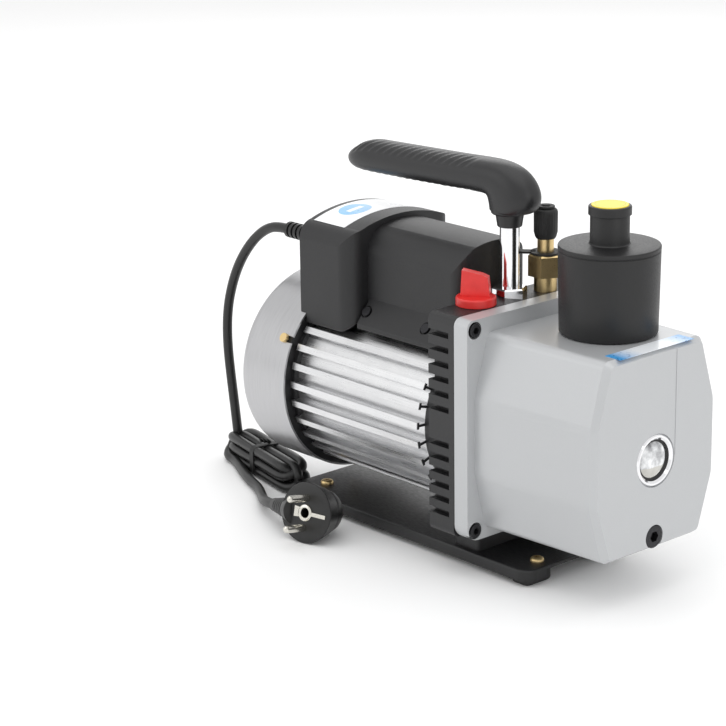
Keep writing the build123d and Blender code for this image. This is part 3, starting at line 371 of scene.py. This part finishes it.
# %% [markdown]
# Both stickers are printed film. The one on the case runs from blue at its ends to
# white in the middle. The one on the wiring box is white with a blue oval and a plain
# white bar in it. Their patterns come from coordinates, so they stay sharp.

# %% Printed stickers
case_film = Finish("case_film", (0.9, 0.93, 0.96), 0.3, Coat_Weight=0.3)
_, case_across, _ = case_film.axes()
print_speckle = case_film.grain(420, 3)
blue_share = case_film.spread(case_across * case_across, 0.00012, 0.0008, 0.0, 1.0)
printed = case_film.mix(blue_share, (0.9, 0.93, 0.96), (0.06, 0.34, 0.72))
case_film.put("Base Color", case_film.mix((print_speckle > 0.6) * blue_share, printed, (0.02, 0.16, 0.4)))
keep("sticker", case_film)

box_film = Finish("box_film", (0.88, 0.88, 0.89), 0.3, Coat_Weight=0.3)
film_x, film_y, _ = box_film.axes()
oval_x = (film_x - (box_back_x + 17 * mm)) * (1 / (10 * mm))
oval_y = (film_y + 12 * mm) * (1 / (11 * mm))
oval = (oval_x * oval_x + oval_y * oval_y) < 1
bar = (oval_x * oval_x < 0.04) * (oval_y * oval_y < 0.3)
film_colour = box_film.mix(oval, (0.86, 0.87, 0.88), (0.1, 0.42, 0.78))
box_film.put("Base Color", box_film.mix(bar, film_colour, (0.8, 0.88, 0.94)))
box_film.put("Roughness", box_film.spread(box_film.grain(90, 2), 0.3, 0.7, 0.26, 0.38))

# %% [markdown]
# The sight glass shows the inside of the case: metal above the oil, drawn as painted glints of reflected light, and
# pale oil below.
# Clear glass over a dark case would look black, so a lens shaped piece behind
# the ring carries that picture, with a clear coat for the gloss.

# %% Glass
lens = keep("lens", Finish(
    "lens", (0.8, 0.83, 0.82), 0.08, Coat_Weight=1.0, Coat_Roughness=0.02, Alpha=0.35))
lens.put("Roughness", lens.spread(lens.grain(300, 2), 0.3, 0.7, 0.05, 0.12))

oil_view = Finish("oil_view", (0.7, 0.7, 0.7), 0.12, Metallic=0.6, Coat_Weight=1.0, Coat_Roughness=0.03)
_, _, oil_z = oil_view.axes()
swirl = oil_view.grain(120, 4)
oil_level = sight_z - 4.4 * mm
level_blur = 0.2 * mm
above_oil = oil_view.spread(
    oil_z + (swirl - 0.5) * (4 * mm), oil_level - level_blur, oil_level + level_blur, 0.0, 1.0)
# Painted glints: light reflected off the metal inside is painted into the colour above the oil.
painted_glints = oil_view.ramp(
    swirl, (0.3, (0.12, 0.12, 0.13)), (0.48, (0.55, 0.56, 0.57)), (0.62, (0.92, 0.93, 0.94)))
oil_colour = oil_view.mix(swirl, (0.35, 0.34, 0.3), (0.75, 0.74, 0.7))
oil_view.put("Base Color", oil_view.mix(above_oil, oil_colour, painted_glints))

# %% Finishes on the CAD nodes
special = {"fan_cover": cover_metal, "box_sticker": box_film, "exhaust_cap": filter_plastic}
for entry in frame["record"]["subparts"]:
    node = frame["nodes"][entry["node"]]
    if entry["node"] in special:
        finish = special[entry["node"]].material
    else:
        finish = finishes[entry["material_slot"]]
    for material_slot in node.material_slots:
        material_slot.material = finish
print("finished", len(frame["nodes"]), "CAD nodes")

# %% [markdown]
# The mains lead is one cord from the wiring box to the plug, 6.6 mm thick. It hangs
# down behind the fan cover, is wound into a small hank on the floor, and its last
# stretch runs along the hank to the plug. A NURBS curve needs few points and bends
# evenly, which is how a real cord bends.

# %% Route of the cord down to the hank
lead_points = [
    (-148.675, -20, 173.5), (-160, -20, 173.5), (-172.5, -20, 170), (-186, -20, 160.5), (-199, -20, 146),
    (-209.5, -19.5, 129), (-217.5, -19, 107), (-219.5, -18.5, 83), (-217.3, -18, 59), (-215, -17.3, 38),
]
tail_points = [
    (-204, -26.2, 3.3), (-187, -35.2, 3.3), (-169, -43.8, 3.3), (-151, -50.2, 3.3),
    (-135.5, -60, 4.2), (-122.5, -69.5, 7.3), (-109.8, -76.2, 10.3), (-96.5, -79.2, 12.8),
]
hank_start = Vector((-211.75, -14.0, 0))
hank_end = Vector((-141.0, -30.0, 0))
hank_way = (hank_end - hank_start).normalized()
hank_side = Vector((-hank_way.y, hank_way.x, 0))
hank_run = (hank_end - hank_start).length
print("hank", round(hank_run, 1), "mm between folds")

# %% [markdown]
# In the hank the cord goes to and fro eight times. Each strand has its own place in
# the bundle, and neighbours in the list are kept apart, which widens the folds. They
# are still tighter than a cord this thick would bend, because the bundle is so narrow.
# The folds swell past it and differ in reach, because nothing ties them there.

# %% The hank's strands and folds
strand_places = [(0, 3.5), (0, 17), (-7.4, 3.5), (7.4, 10.2), (-7.4, 17), (7.4, 3.5), (-7.4, 10.2), (7.4, 17)]
strand_reach = [1.5, 1.2, 3.0, 2.6, -3.5, 3.6, -1.0, 0.8]
fold_length = 11.0
fold_swell = 1.25
hank_middle = 10.2
lowest_strand = 3.4
highest_strand = 18.6


def hank_point(run, sideways, height):
    """A point of the hank, from how far it is along it, to its side, and up."""
    spot = hank_start + hank_way * run + hank_side * sideways
    return (spot.x, spot.y, min(max(height, lowest_strand), highest_strand))


hank_points = [hank_point(-0.5, -2.5, 11.5), hank_point(3.5, -1.2, 5.0)]
for number, (sideways, height) in enumerate(strand_places):
    forward = number % 2 == 0
    for share in (0.2, 0.4, 0.6, 0.8):
        run = hank_run * (share if forward else 1 - share)
        loose = 1 + 0.12 * abs(2 * share - 1) + 0.03 * sin(3 * number + 5 * share)
        hank_points.append(hank_point(run, sideways * loose, hank_middle + (height - hank_middle) * loose))
    following = strand_places[number + 1] if number + 1 < len(strand_places) else (-10.5, 3.4)
    middle = Vector((sideways + following[0], height + following[1])) / 2
    half = Vector((following[0] - sideways, following[1] - height)) / 2
    base_run = hank_run + strand_reach[number] - 2 if forward else strand_reach[number] + 2
    outward = 1 if forward else -1
    for turn in (15, 50, 90, 130, 165):
        swell = 1 + (fold_swell - 1) * sin(radians(turn))
        offset = half * (-cos(radians(turn)) * swell)
        run = base_run + outward * fold_length * sin(radians(turn))
        hank_points.append(hank_point(run, middle.x + offset.x, middle.y + offset.y))
cord_points = lead_points + hank_points + tail_points
print("cord has", len(cord_points), "points")

# %% The cord's curve
cord_data = bpy.data.curves.new("power_cord", "CURVE")
cord_data.dimensions = "3D"
cord_data.resolution_u = 6
cord_data.bevel_depth = cord_radius
cord_data.bevel_resolution = 5
cord_data.use_fill_caps = True
spline = cord_data.splines.new("NURBS")
spline.points.add(len(cord_points) - 1)
for point, (x, y, z) in zip(spline.points, cord_points):
    point.co = (x * mm, y * mm, z * mm, 1)
spline.order_u = 3
spline.use_endpoint_u = True
power_cord = bpy.data.objects.new("power_cord", cord_data)
bpy.context.scene.collection.objects.link(power_cord)
power_cord.data.materials.append(finishes["cord_black"])
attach(power_cord, "pump")
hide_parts("cord_lead", "cord_hank", "cord_tail")

bare_copy = cord_data.copy()
bare_copy.bevel_depth = 0
probe = bpy.data.objects.new("probe", bare_copy)
line = bpy.data.meshes.new_from_object(probe)
bpy.data.objects.remove(probe)
bpy.data.meshes.remove(line)


# %% [markdown]
# Most new pieces are skins drawn through rings of points: a turned piece is a ring
# that changes in radius, and the grip is an oval that moves along a bent line. One
# helper joins rings into a closed skin, and another turns a profile round an axis.


# %% Skin helpers
def piece(name, points, faces, finish, body, slot_name, *nodes, smooth=True):
    """A new mesh piece that rides on a body and stands for CAD nodes."""
    mesh = bpy.data.meshes.new(name)
    mesh.from_pydata([tuple(point) for point in points], [], faces)
    mesh.validate()
    mesh.shade_smooth() if smooth else mesh.shade_flat()
    made = bpy.data.objects.new(name, mesh)
    bpy.context.scene.collection.objects.link(made)
    made.data.materials.append(finish)
    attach(made, body)
    if nodes:
        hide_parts(*nodes)
    print(name, "has", len(faces), "faces")
    return made


def skin(rings, first=0):
    """Faces of a closed skin through equal rings, with a flat cap at each end."""
    count = len(rings[0])
    faces = [[first + corner for corner in reversed(range(count))]]
    for row in range(len(rings) - 1):
        here = first + row * count
        for step in range(count):
            turn = (step + 1) % count
            faces.append([here + step, here + turn, here + count + turn, here + count + step])
    last = first + (len(rings) - 1) * count
    faces.append([last + corner for corner in range(count)])
    return [point for ring in rings for point in ring], faces


def turned(profile, origin, axis, count=64, start=None, wave=None):
    """Rings of a turned piece. The profile lists how far along the axis and how far out."""
    axis = Vector(axis).normalized()
    first = Vector(start) if start else axis.orthogonal()
    first = (first - axis * first.dot(axis)).normalized()
    second = axis.cross(first)
    rings = []
    for along_axis, radius in profile:
        ring = []
        for step in range(count):
            angle = 2 * pi * step / count
            reach = radius + (wave(along_axis, angle) if wave else 0)
            ring.append(Vector(origin) + axis * along_axis + (first * cos(angle) + second * sin(angle)) * reach)
        rings.append(ring)
    return rings


def joined(*parts):
    """Several skins as one mesh's points and faces."""
    points, faces = [], []
    for part_points, part_faces in parts:
        faces += [[len(points) + corner for corner in face] for face in part_faces]
        points += part_points
    return points, faces


def sharpen(made, angle=35):
    """Round curved skin and crisp edges on the same mesh."""
    made.data.set_sharp_from_angle(angle=radians(angle))


# %% [markdown]
# The grip is one moulding: a bar that tapers to a blunt point behind, and a heavy
# elbow that drops on to the post. Its sections are ovals, set by the upper and lower
# line of its side view. Fine slanting ribs are cut into the upper near side and
# across the underside, with a smooth band between them, so they are real geometry.

# %% Side view of the grip, upper point, lower point and half width in mm from the case joint
grip_stations = [
    (-152.3, 226.5, -152.2, 225.4, 0.6), (-151.0, 228.6, -150.2, 223.4, 4.0), (-147.5, 231.6, -146.5, 221.4, 7.2),
    (-142.5, 234.8, -141.5, 220.0, 9.6), (-136.5, 237.9, -136.0, 219.4, 11.0), (-129.0, 239.8, -129.0, 219.3, 11.7),
    (-118.0, 240.3, -118.0, 219.5, 11.9), (-98.0, 240.9, -98.0, 219.9, 12.0), (-76.0, 241.6, -76.0, 220.5, 12.0),
    (-54.0, 242.3, -54.5, 221.2, 12.0), (-40.0, 242.9, -42.0, 221.8, 12.0), (-29.0, 243.3, -34.0, 222.0, 12.0),
    (-19.0, 243.3, -28.4, 222.0, 12.0), (-10.0, 242.2, -24.9, 221.4, 12.0), (-2.0, 239.6, -24.0, 220.0, 12.0),
    (4.2, 235.7, -23.9, 218.6, 12.0), (8.6, 230.6, -23.8, 217.2, 12.0), (10.6, 225.2, -23.7, 215.9, 11.9),
    (10.0, 220.0, -23.6, 214.9, 11.6), (7.2, 216.0, -23.4, 214.2, 11.2), (4.0, 214.0, -22.4, 213.8, 10.6),
]
rib_pitch = 6.6
rib_depth = 0.95
oval_power = 2.35


# %% [markdown]
# A Catmull-Rom curve through the stations gives as many sections as the ribs need.


# %% Grip sections
def between(values, place):
    """A smooth value between stations, by a Catmull-Rom curve."""
    index = min(int(place), len(values) - 2)
    share = place - index
    before = values[max(index - 1, 0)]
    here = values[index]
    after = values[index + 1]
    beyond = values[min(index + 2, len(values) - 1)]
    pull = 2 * before - 5 * here + 4 * after - beyond
    bend = 3 * (here - after) + beyond - before
    return here + 0.5 * share * (after - before + share * (pull + share * bend))


def rounded(value):
    """Cosine or sine pulled outward, so that an oval's sides fill out."""
    return abs(value) ** (2 / oval_power) * (1 if value >= 0 else -1)


def rib_cut(x, angle):
    """How far a rib's groove goes in, at a place along the bar and round it."""
    top_near = max(0.0, 1 - ((angle - radians(122)) / radians(38)) ** 4)
    under = max(0.0, 1 - ((angle - radians(275)) / radians(42)) ** 4)
    ends = min(1.0, max(0.0, (x + 147) / 8)) * min(1.0, max(0.0, (-33 - x) / 8))
    slant = 5.0 * (angle - radians(122)) / radians(38)
    saw = ((x + slant * (1 if top_near else 0.15)) / rib_pitch) % 1
    groove = 1 - abs(2 * saw - 1) ** 1.6
    return rib_depth * groove * ends * max(top_near, under)


grip_rings = []
stations = list(zip(*grip_stations))
grip_steps = 330
for step in range(grip_steps + 1):
    place = (len(grip_stations) - 1) * step / grip_steps
    high_x, high_z, low_x, low_z, half_width = (between(column, place) for column in stations)
    middle = Vector((high_x + low_x, 0, high_z + low_z)) / 2
    rise = Vector((high_x - low_x, 0, high_z - low_z)) / 2
    ring = []
    for corner in range(72):
        angle = 2 * pi * corner / 72
        cut = rib_cut(middle.x, angle)
        shrink = 1 - cut / max(half_width, 1)
        spot = middle + rise * (rounded(sin(angle)) * shrink)
        sideways = half_width * rounded(cos(angle)) * shrink
        ring.append(Vector((joint_x + spot.x * mm, post_y + sideways * mm, spot.z * mm)))
    grip_rings.append(ring)
collar_profile = [
    (204.6, 6.2), (204.6, 7.1), (205.0, 7.5), (206.5, 7.7), (212.2, 8.6), (212.5, 10.6), (213.2, 11.2),
    (221.0, 11.6), (222.0, 6.0)]
collar_rings = turned([(z * mm, r * mm) for z, r in collar_profile], (post_x, post_y, 0), (0, 0, 1))
grip = piece("handle_grip_skin", *joined(skin(grip_rings), skin(collar_rings)), grip_plastic.material,
             "pump", "rubber", "handle_grip")
sharpen(grip)

# %% [markdown]
# The mains plug is a round moulding for a side-earth socket, with the cord's neck at
# its side. Two nickelled pins stand out of its face, an earth contact with a hole for
# the socket's pin lies in the face, and a spring strip shows at the edge.

# %% Plug frame
plug_out = Vector((0.19, -0.95, 0.235)).normalized()
plug_across = Vector((0.981, 0.194, 0))
plug_across = (plug_across - plug_out * plug_across.dot(plug_out)).normalized()
plug_up = plug_out.cross(plug_across)
plug_centre = Vector((-60.6, -86.1, 18.95)) * mm


def plug_spot(sideways, upward, outward):
    """A point on the plug from its face, in mm across, up and out."""
    return plug_centre + (plug_across * sideways + plug_up * upward + plug_out * outward) * mm


# %% Plug body, its neck, and the pieces of metal
plug_profile = [
    (-23, 2.0), (-23, 11.0), (-22.3, 12.4), (-20.5, 13.4), (-17, 14.4), (-13.6, 15.0), (-13.2, 14.9),
    (-12.8, 15.9), (-7.0, 17.5), (-2.4, 18.8), (-0.8, 19.2), (-0.2, 18.9), (0, 18.2), (0, 12.0), (0, 3.1),
    (-9, 3.1), (-9, 0.4)]
plug_rings = turned(
    [(along_axis * mm, radius * mm) for along_axis, radius in plug_profile], plug_centre, plug_out, 72)
neck_start = Vector(tail_points[-1]) * mm
neck_way = (Vector(tail_points[-1]) - Vector(tail_points[-2])).normalized()
neck_profile = [(-3.0, 3.6), (-3.0, 4.3), (0, 4.6)]
for ring_number in range(5):
    foot = 1.2 + ring_number * 3.4
    swell = 4.8 + ring_number * 0.5
    neck_profile += [
        (foot, swell), (foot + 1.9, swell + 0.1), (foot + 2.0, swell - 0.7), (foot + 3.2, swell - 0.6)]
neck_profile += [(19, 7.6), (23, 8.6), (27, 9.2)]
neck_rings = turned(
    [(along_axis * mm, radius * mm) for along_axis, radius in neck_profile], neck_start, neck_way, 40)
plug = piece("mains_plug", *joined(skin(plug_rings), skin(neck_rings)), finishes["cord_black"],
             "pump", "cord_black", "plug_body")
sharpen(plug)


def hoop(rings):
    """Faces of a closed hoop through equal rings, with a hole through it."""
    count = len(rings[0])
    faces = []
    for row in range(len(rings)):
        below, above = row * count, (row + 1) % len(rings) * count
        for step in range(count):
            turn = (step + 1) % count
            faces.append([below + step, below + turn, above + turn, above + step])
    return [point for ring in rings for point in ring], faces


def strip(corners, thickness):
    """A flat strip on the plug's face from its outline, in mm across and up."""
    low = [plug_spot(across, upward, 0.05) for across, upward in corners]
    high = [plug_spot(across, upward, 0.05 + thickness) for across, upward in corners]
    return skin([low, high])


pin_parts = []
for side in (-1, 1):
    pin_profile = [(-1, 2.4), (17.2, 2.4), (18.4, 1.9), (19.0, 0.9), (19.0, 0.1)]
    pin_rings = turned([(a * mm, r * mm) for a, r in pin_profile], plug_spot(0, side * 9.5, 0), plug_out, 24)
    pin_parts.append(skin(pin_rings))
earth_profile = [(0.05, 3.15), (0.05, 5.2), (0.9, 5.2), (1.1, 4.9), (1.1, 3.4), (0.9, 3.15)]
pin_parts.append(hoop(turned([(a * mm, r * mm) for a, r in earth_profile], plug_centre, plug_out, 32)))
pin_parts.append(strip([(4.4, -1.2), (15.8, -1.2), (15.8, 1.2), (4.4, 1.2)], 0.8))
pin_parts.append(strip([(-8.2, -3.4), (-4.2, -3.0), (-4.2, 3.0), (-8.2, 3.4)], 0.9))
pin_parts.append(strip([(-18.0, -3.0), (-16.4, -3.0), (-16.4, 3.0), (-18.0, 3.0)], 0.9))
plug_metal = piece("mains_plug_contacts", *joined(*pin_parts), nickel.material, "pump", "chrome", "plug_pins")
sharpen(plug_metal)

# %% [markdown]
# A flat plastic tie holds the hank at its middle. It hugs the outer strands, so its
# line is a rounded rectangle round the bundle, and its twisted tail stands up on top.

# %% Cord tie
tie_middle = hank_start + hank_way * (hank_run / 2)
tie_half_width, tie_top, tie_corner = 11.6, 20.9, 4.5
tie_rings = []
for corner_y, corner_z, first_angle in ((1, 1, 0), (-1, 1, 90), (-1, -1, 180), (1, -1, 270)):
    for turn in range(0, 91, 15):
        angle = radians(first_angle + turn)
        out = Vector((cos(angle), sin(angle)))
        centre_y = corner_y * (tie_half_width - tie_corner)
        centre_z = tie_top / 2 + corner_z * (tie_top / 2 - tie_corner)
        ring = []
        for run, reach in ((-2.6, 0), (2.6, 0), (2.6, -0.9), (-2.6, -0.9)):
            sideways = centre_y + out.x * (tie_corner + reach)
            height = centre_z + out.y * (tie_corner + reach)
            spot = tie_middle + hank_way * run + hank_side * sideways
            ring.append(Vector((spot.x, spot.y, max(height, 0.1))) * mm)
        tie_rings.append(ring)
twist_rings = []
for step in range(15):
    angle = radians(36 * step)
    spot = tie_middle + hank_side * (3 - 0.55 * step) + Vector((0, 0, 20.8 + 0.16 * step))
    ring = []
    for half_run, half_rise in ((-1.6, -0.4), (1.6, -0.4), (1.6, 0.4), (-1.6, 0.4)):
        run = half_run * cos(angle) - half_rise * sin(angle)
        rise = half_run * sin(angle) + half_rise * cos(angle)
        ring.append((spot + hank_way * run + Vector((0, 0, max(rise, -1.2) + 1.0))) * mm)
    twist_rings.append(ring)
tie = piece("cord_tie_band", *joined(hoop(tie_rings), skin(twist_rings)), finishes["rubber"],
            "pump", "cord_black", "cord_tie")
sharpen(tie)

# %% [markdown]
# The rubber cap on the inlet is knurled to be pulled off by hand. Its knurls are
# upright ribs round a turned shape, which narrows at the foot.


# %% Inlet cap
def knurl(along_axis, angle):
    """Upright ribs on the cap's middle part."""
    share = max(0.0, 1 - ((along_axis - 203.5 * mm) / (6.5 * mm)) ** 6)
    return 0.28 * mm * cos(26 * angle) * share


cap_profile = [
    (193.4, 5.3), (193.4, 5.8), (194.6, 6.5), (196.6, 7.0), (197.2, 7.2), (209.5, 7.2), (210.6, 7.0), (211.3, 6.4),
    (211.8, 5.2), (211.8, 2.5), (213.6, 2.5), (214.1, 2.2), (214.3, 0.2)]
cap_rings = turned([(z * mm, r * mm) for z, r in cap_profile], (inlet_x, inlet_y, 0), (0, 0, 1), 208, wave=knurl)
cap_points, cap_faces = skin(cap_rings)
inlet_cap = piece("inlet_cap_skin", cap_points, cap_faces, finishes["rubber"], "inlet_cap", "rubber", "flare_cap")
sharpen(inlet_cap, 50)

# %% [markdown]
# The cap hangs on a rubber strap with an eye at each end: one round the fitting's
# neck, one round the cap's nub. When the cap is pulled off, the strap stretches
# between the two bodies; this piece is made in place and follows neither.

# %% Cap strap
strap_way = Vector((-0.75, -0.66, 0)).normalized()
strap_side = Vector((strap_way.y, -strap_way.x, 0))
bend_reach, bend_radius = 13, 8.35
low_bend, high_bend = 193.0, 204.4
strap_path = [(6 + step, 184.65) for step in range(0, 8)]
for turn in range(10, 91, 10):
    strap_path.append((bend_reach + bend_radius * sin(radians(turn)), low_bend - bend_radius * cos(radians(turn))))
strap_path += [(21.35, low_bend + 1.9 * step) for step in range(1, 6)]
for turn in range(0, 91, 10):
    strap_path.append((bend_reach + bend_radius * cos(radians(turn)), high_bend + bend_radius * sin(radians(turn))))
strap_path += [(bend_reach - step * 1.5, 212.75) for step in range(1, 7)]
strap_rings = []
for index, (reach, height) in enumerate(strap_path):
    earlier = strap_path[max(index - 1, 0)]
    later = strap_path[min(index + 1, len(strap_path) - 1)]
    heading = Vector((later[0] - earlier[0], later[1] - earlier[1])).normalized()
    ring = []
    for sideways, thick in ((-3.2, -0.65), (-2.9, 0.65), (2.9, 0.65), (3.2, -0.65)):
        out = reach + heading.y * thick
        rise = height - heading.x * thick
        spot = Vector((inlet_x / mm, inlet_y / mm, 0)) + strap_way * out + strap_side * sideways
        ring.append(Vector((spot.x, spot.y, rise)) * mm)
    strap_rings.append(ring)


def eye(low, outer, inner):
    """One flat ring of the strap, 1.3 mm thick."""
    outline = [
        (low, inner), (low, outer), (low + 0.4, outer + 0.2), (low + 0.9, outer + 0.2),
        (low + 1.3, outer), (low + 1.3, inner)]
    return hoop(turned([(z * mm, r * mm) for z, r in outline], (inlet_x, inlet_y, 0), (0, 0, 1), 48))


strap_points, strap_faces = joined(skin(strap_rings), eye(184.0, 9.3, 5.05), eye(212.1, 5.3, 2.85))
strap_mesh = bpy.data.meshes.new("cap_strap_band")
strap_mesh.from_pydata([tuple(point) for point in strap_points], [], strap_faces)
strap_mesh.shade_smooth()
strap = bpy.data.objects.new("cap_strap_band", strap_mesh)
bpy.context.scene.collection.objects.link(strap)
strap.data.materials.append(finishes["rubber"])
sharpen(strap)
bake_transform(strap)
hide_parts("cap_strap")

# %% [markdown]
# The filter's housing is a turned moulding with a lid pressed on. A fine groove shows
# where the lid meets the body, and the open neck carries on down inside it.

# %% Exhaust filter
filter_profile = [
    (144.2, 0.5), (144.2, 11.4), (144.9, 11.95), (152.0, 11.95), (152.12, 27.6), (152.5, 28.5), (153.4, 29.0),
    (176.0, 29.45), (200.9, 29.85), (201.3, 29.55), (201.5, 29.35), (201.8, 29.35), (202.0, 29.7), (202.2, 29.95),
    (203.8, 29.95), (204.4, 29.6), (204.6, 28.9), (204.62, 20.0), (204.7, 13.2), (204.9, 12.2), (205.5, 11.7),
    (207.0, 11.5), (221.4, 11.5), (221.9, 11.3), (222.0, 10.9), (222.0, 10.0), (221.7, 9.55), (221.0, 9.5),
    (200.0, 9.5), (200.0, 0.3)]
filter_rings = turned([(z * mm, r * mm) for z, r in filter_profile], (filter_x, filter_y, 0), (0, 0, 1), 96)
filter_shell = piece("filter_housing_skin", *skin(filter_rings), filter_plastic.material, "filter", "black_plastic",
                     "filter_housing")
sharpen(filter_shell, 28)

# %% [markdown]
# The sight glass has a shallow domed window just inside its polished ring.

# %% Sight window
dome_profile = [(-3.9, 12.35)]
for step in range(9):
    angle = radians(90 - 10 * step)
    dome_profile.append((-3.4 + 1.6 * cos(angle), 12.35 * sin(angle)))
dome_rings = turned([(along_axis * mm, radius * mm) for along_axis, radius in dome_profile],
                    (case_front_x, 0, sight_z), (1, 0, 0), 64)
window = piece("sight_window", *skin(dome_rings), oil_view.material, "pump", "lens", "sight_lens")
sharpen(window, 50)

# %% [markdown]
# A plain pale floor and soft light from large panels, as in a product studio. The
# panels are wide, so highlights on the case and the grip have soft ends.

# %% Floor and light
floor_mesh = bpy.data.meshes.new("studio_floor")
floor_size = 6
floor_mesh.from_pydata([(-floor_size, -floor_size, 0), (floor_size, -floor_size, 0), (floor_size, floor_size, 0),
                        (-floor_size, floor_size, 0)], [], [(0, 1, 2, 3)])
studio_floor = bpy.data.objects.new("studio_floor", floor_mesh)
bpy.context.scene.collection.objects.link(studio_floor)
floor_finish = Finish("studio_floor", (0.98, 0.98, 0.98), 0.9)
studio_floor.data.materials.append(floor_finish.material)

world = bpy.data.worlds.new("studio_world")
bpy.context.scene.world = world
world.use_nodes = True
world.node_tree.nodes["Background"].inputs["Color"].default_value = (1, 1, 1, 1)
world.node_tree.nodes["Background"].inputs["Strength"].default_value = 0.92


def panel(name, spot, aim, width, height, power):
    """A soft light panel that faces a point."""
    light = bpy.data.lights.new(name, "AREA")
    light.shape = "RECTANGLE"
    light.size = width
    light.size_y = height
    light.energy = power
    made = bpy.data.objects.new(name, light)
    bpy.context.scene.collection.objects.link(made)
    made.location = spot
    made.rotation_euler = (Vector(aim) - Vector(spot)).to_track_quat("-Z", "Y").to_euler()


panel("top_panel", (0.1, -0.1, 1.5), (0, 0, 0.1), 1.6, 1.6, 6)
panel("left_panel", (-0.9, -1.5, 0.9), (0, 0, 0.1), 0.9, 1.3, 3)
panel("front_panel", (1.7, -0.2, 0.7), (0, 0, 0.1), 0.9, 1.3, 2.4)
panel("rear_panel", (-1.2, 1.2, 1.0), (0, 0, 0.1), 1.0, 1.0, 4)
bpy.context.scene.view_settings.view_transform = "Standard"
print("studio lit by 4 panels")
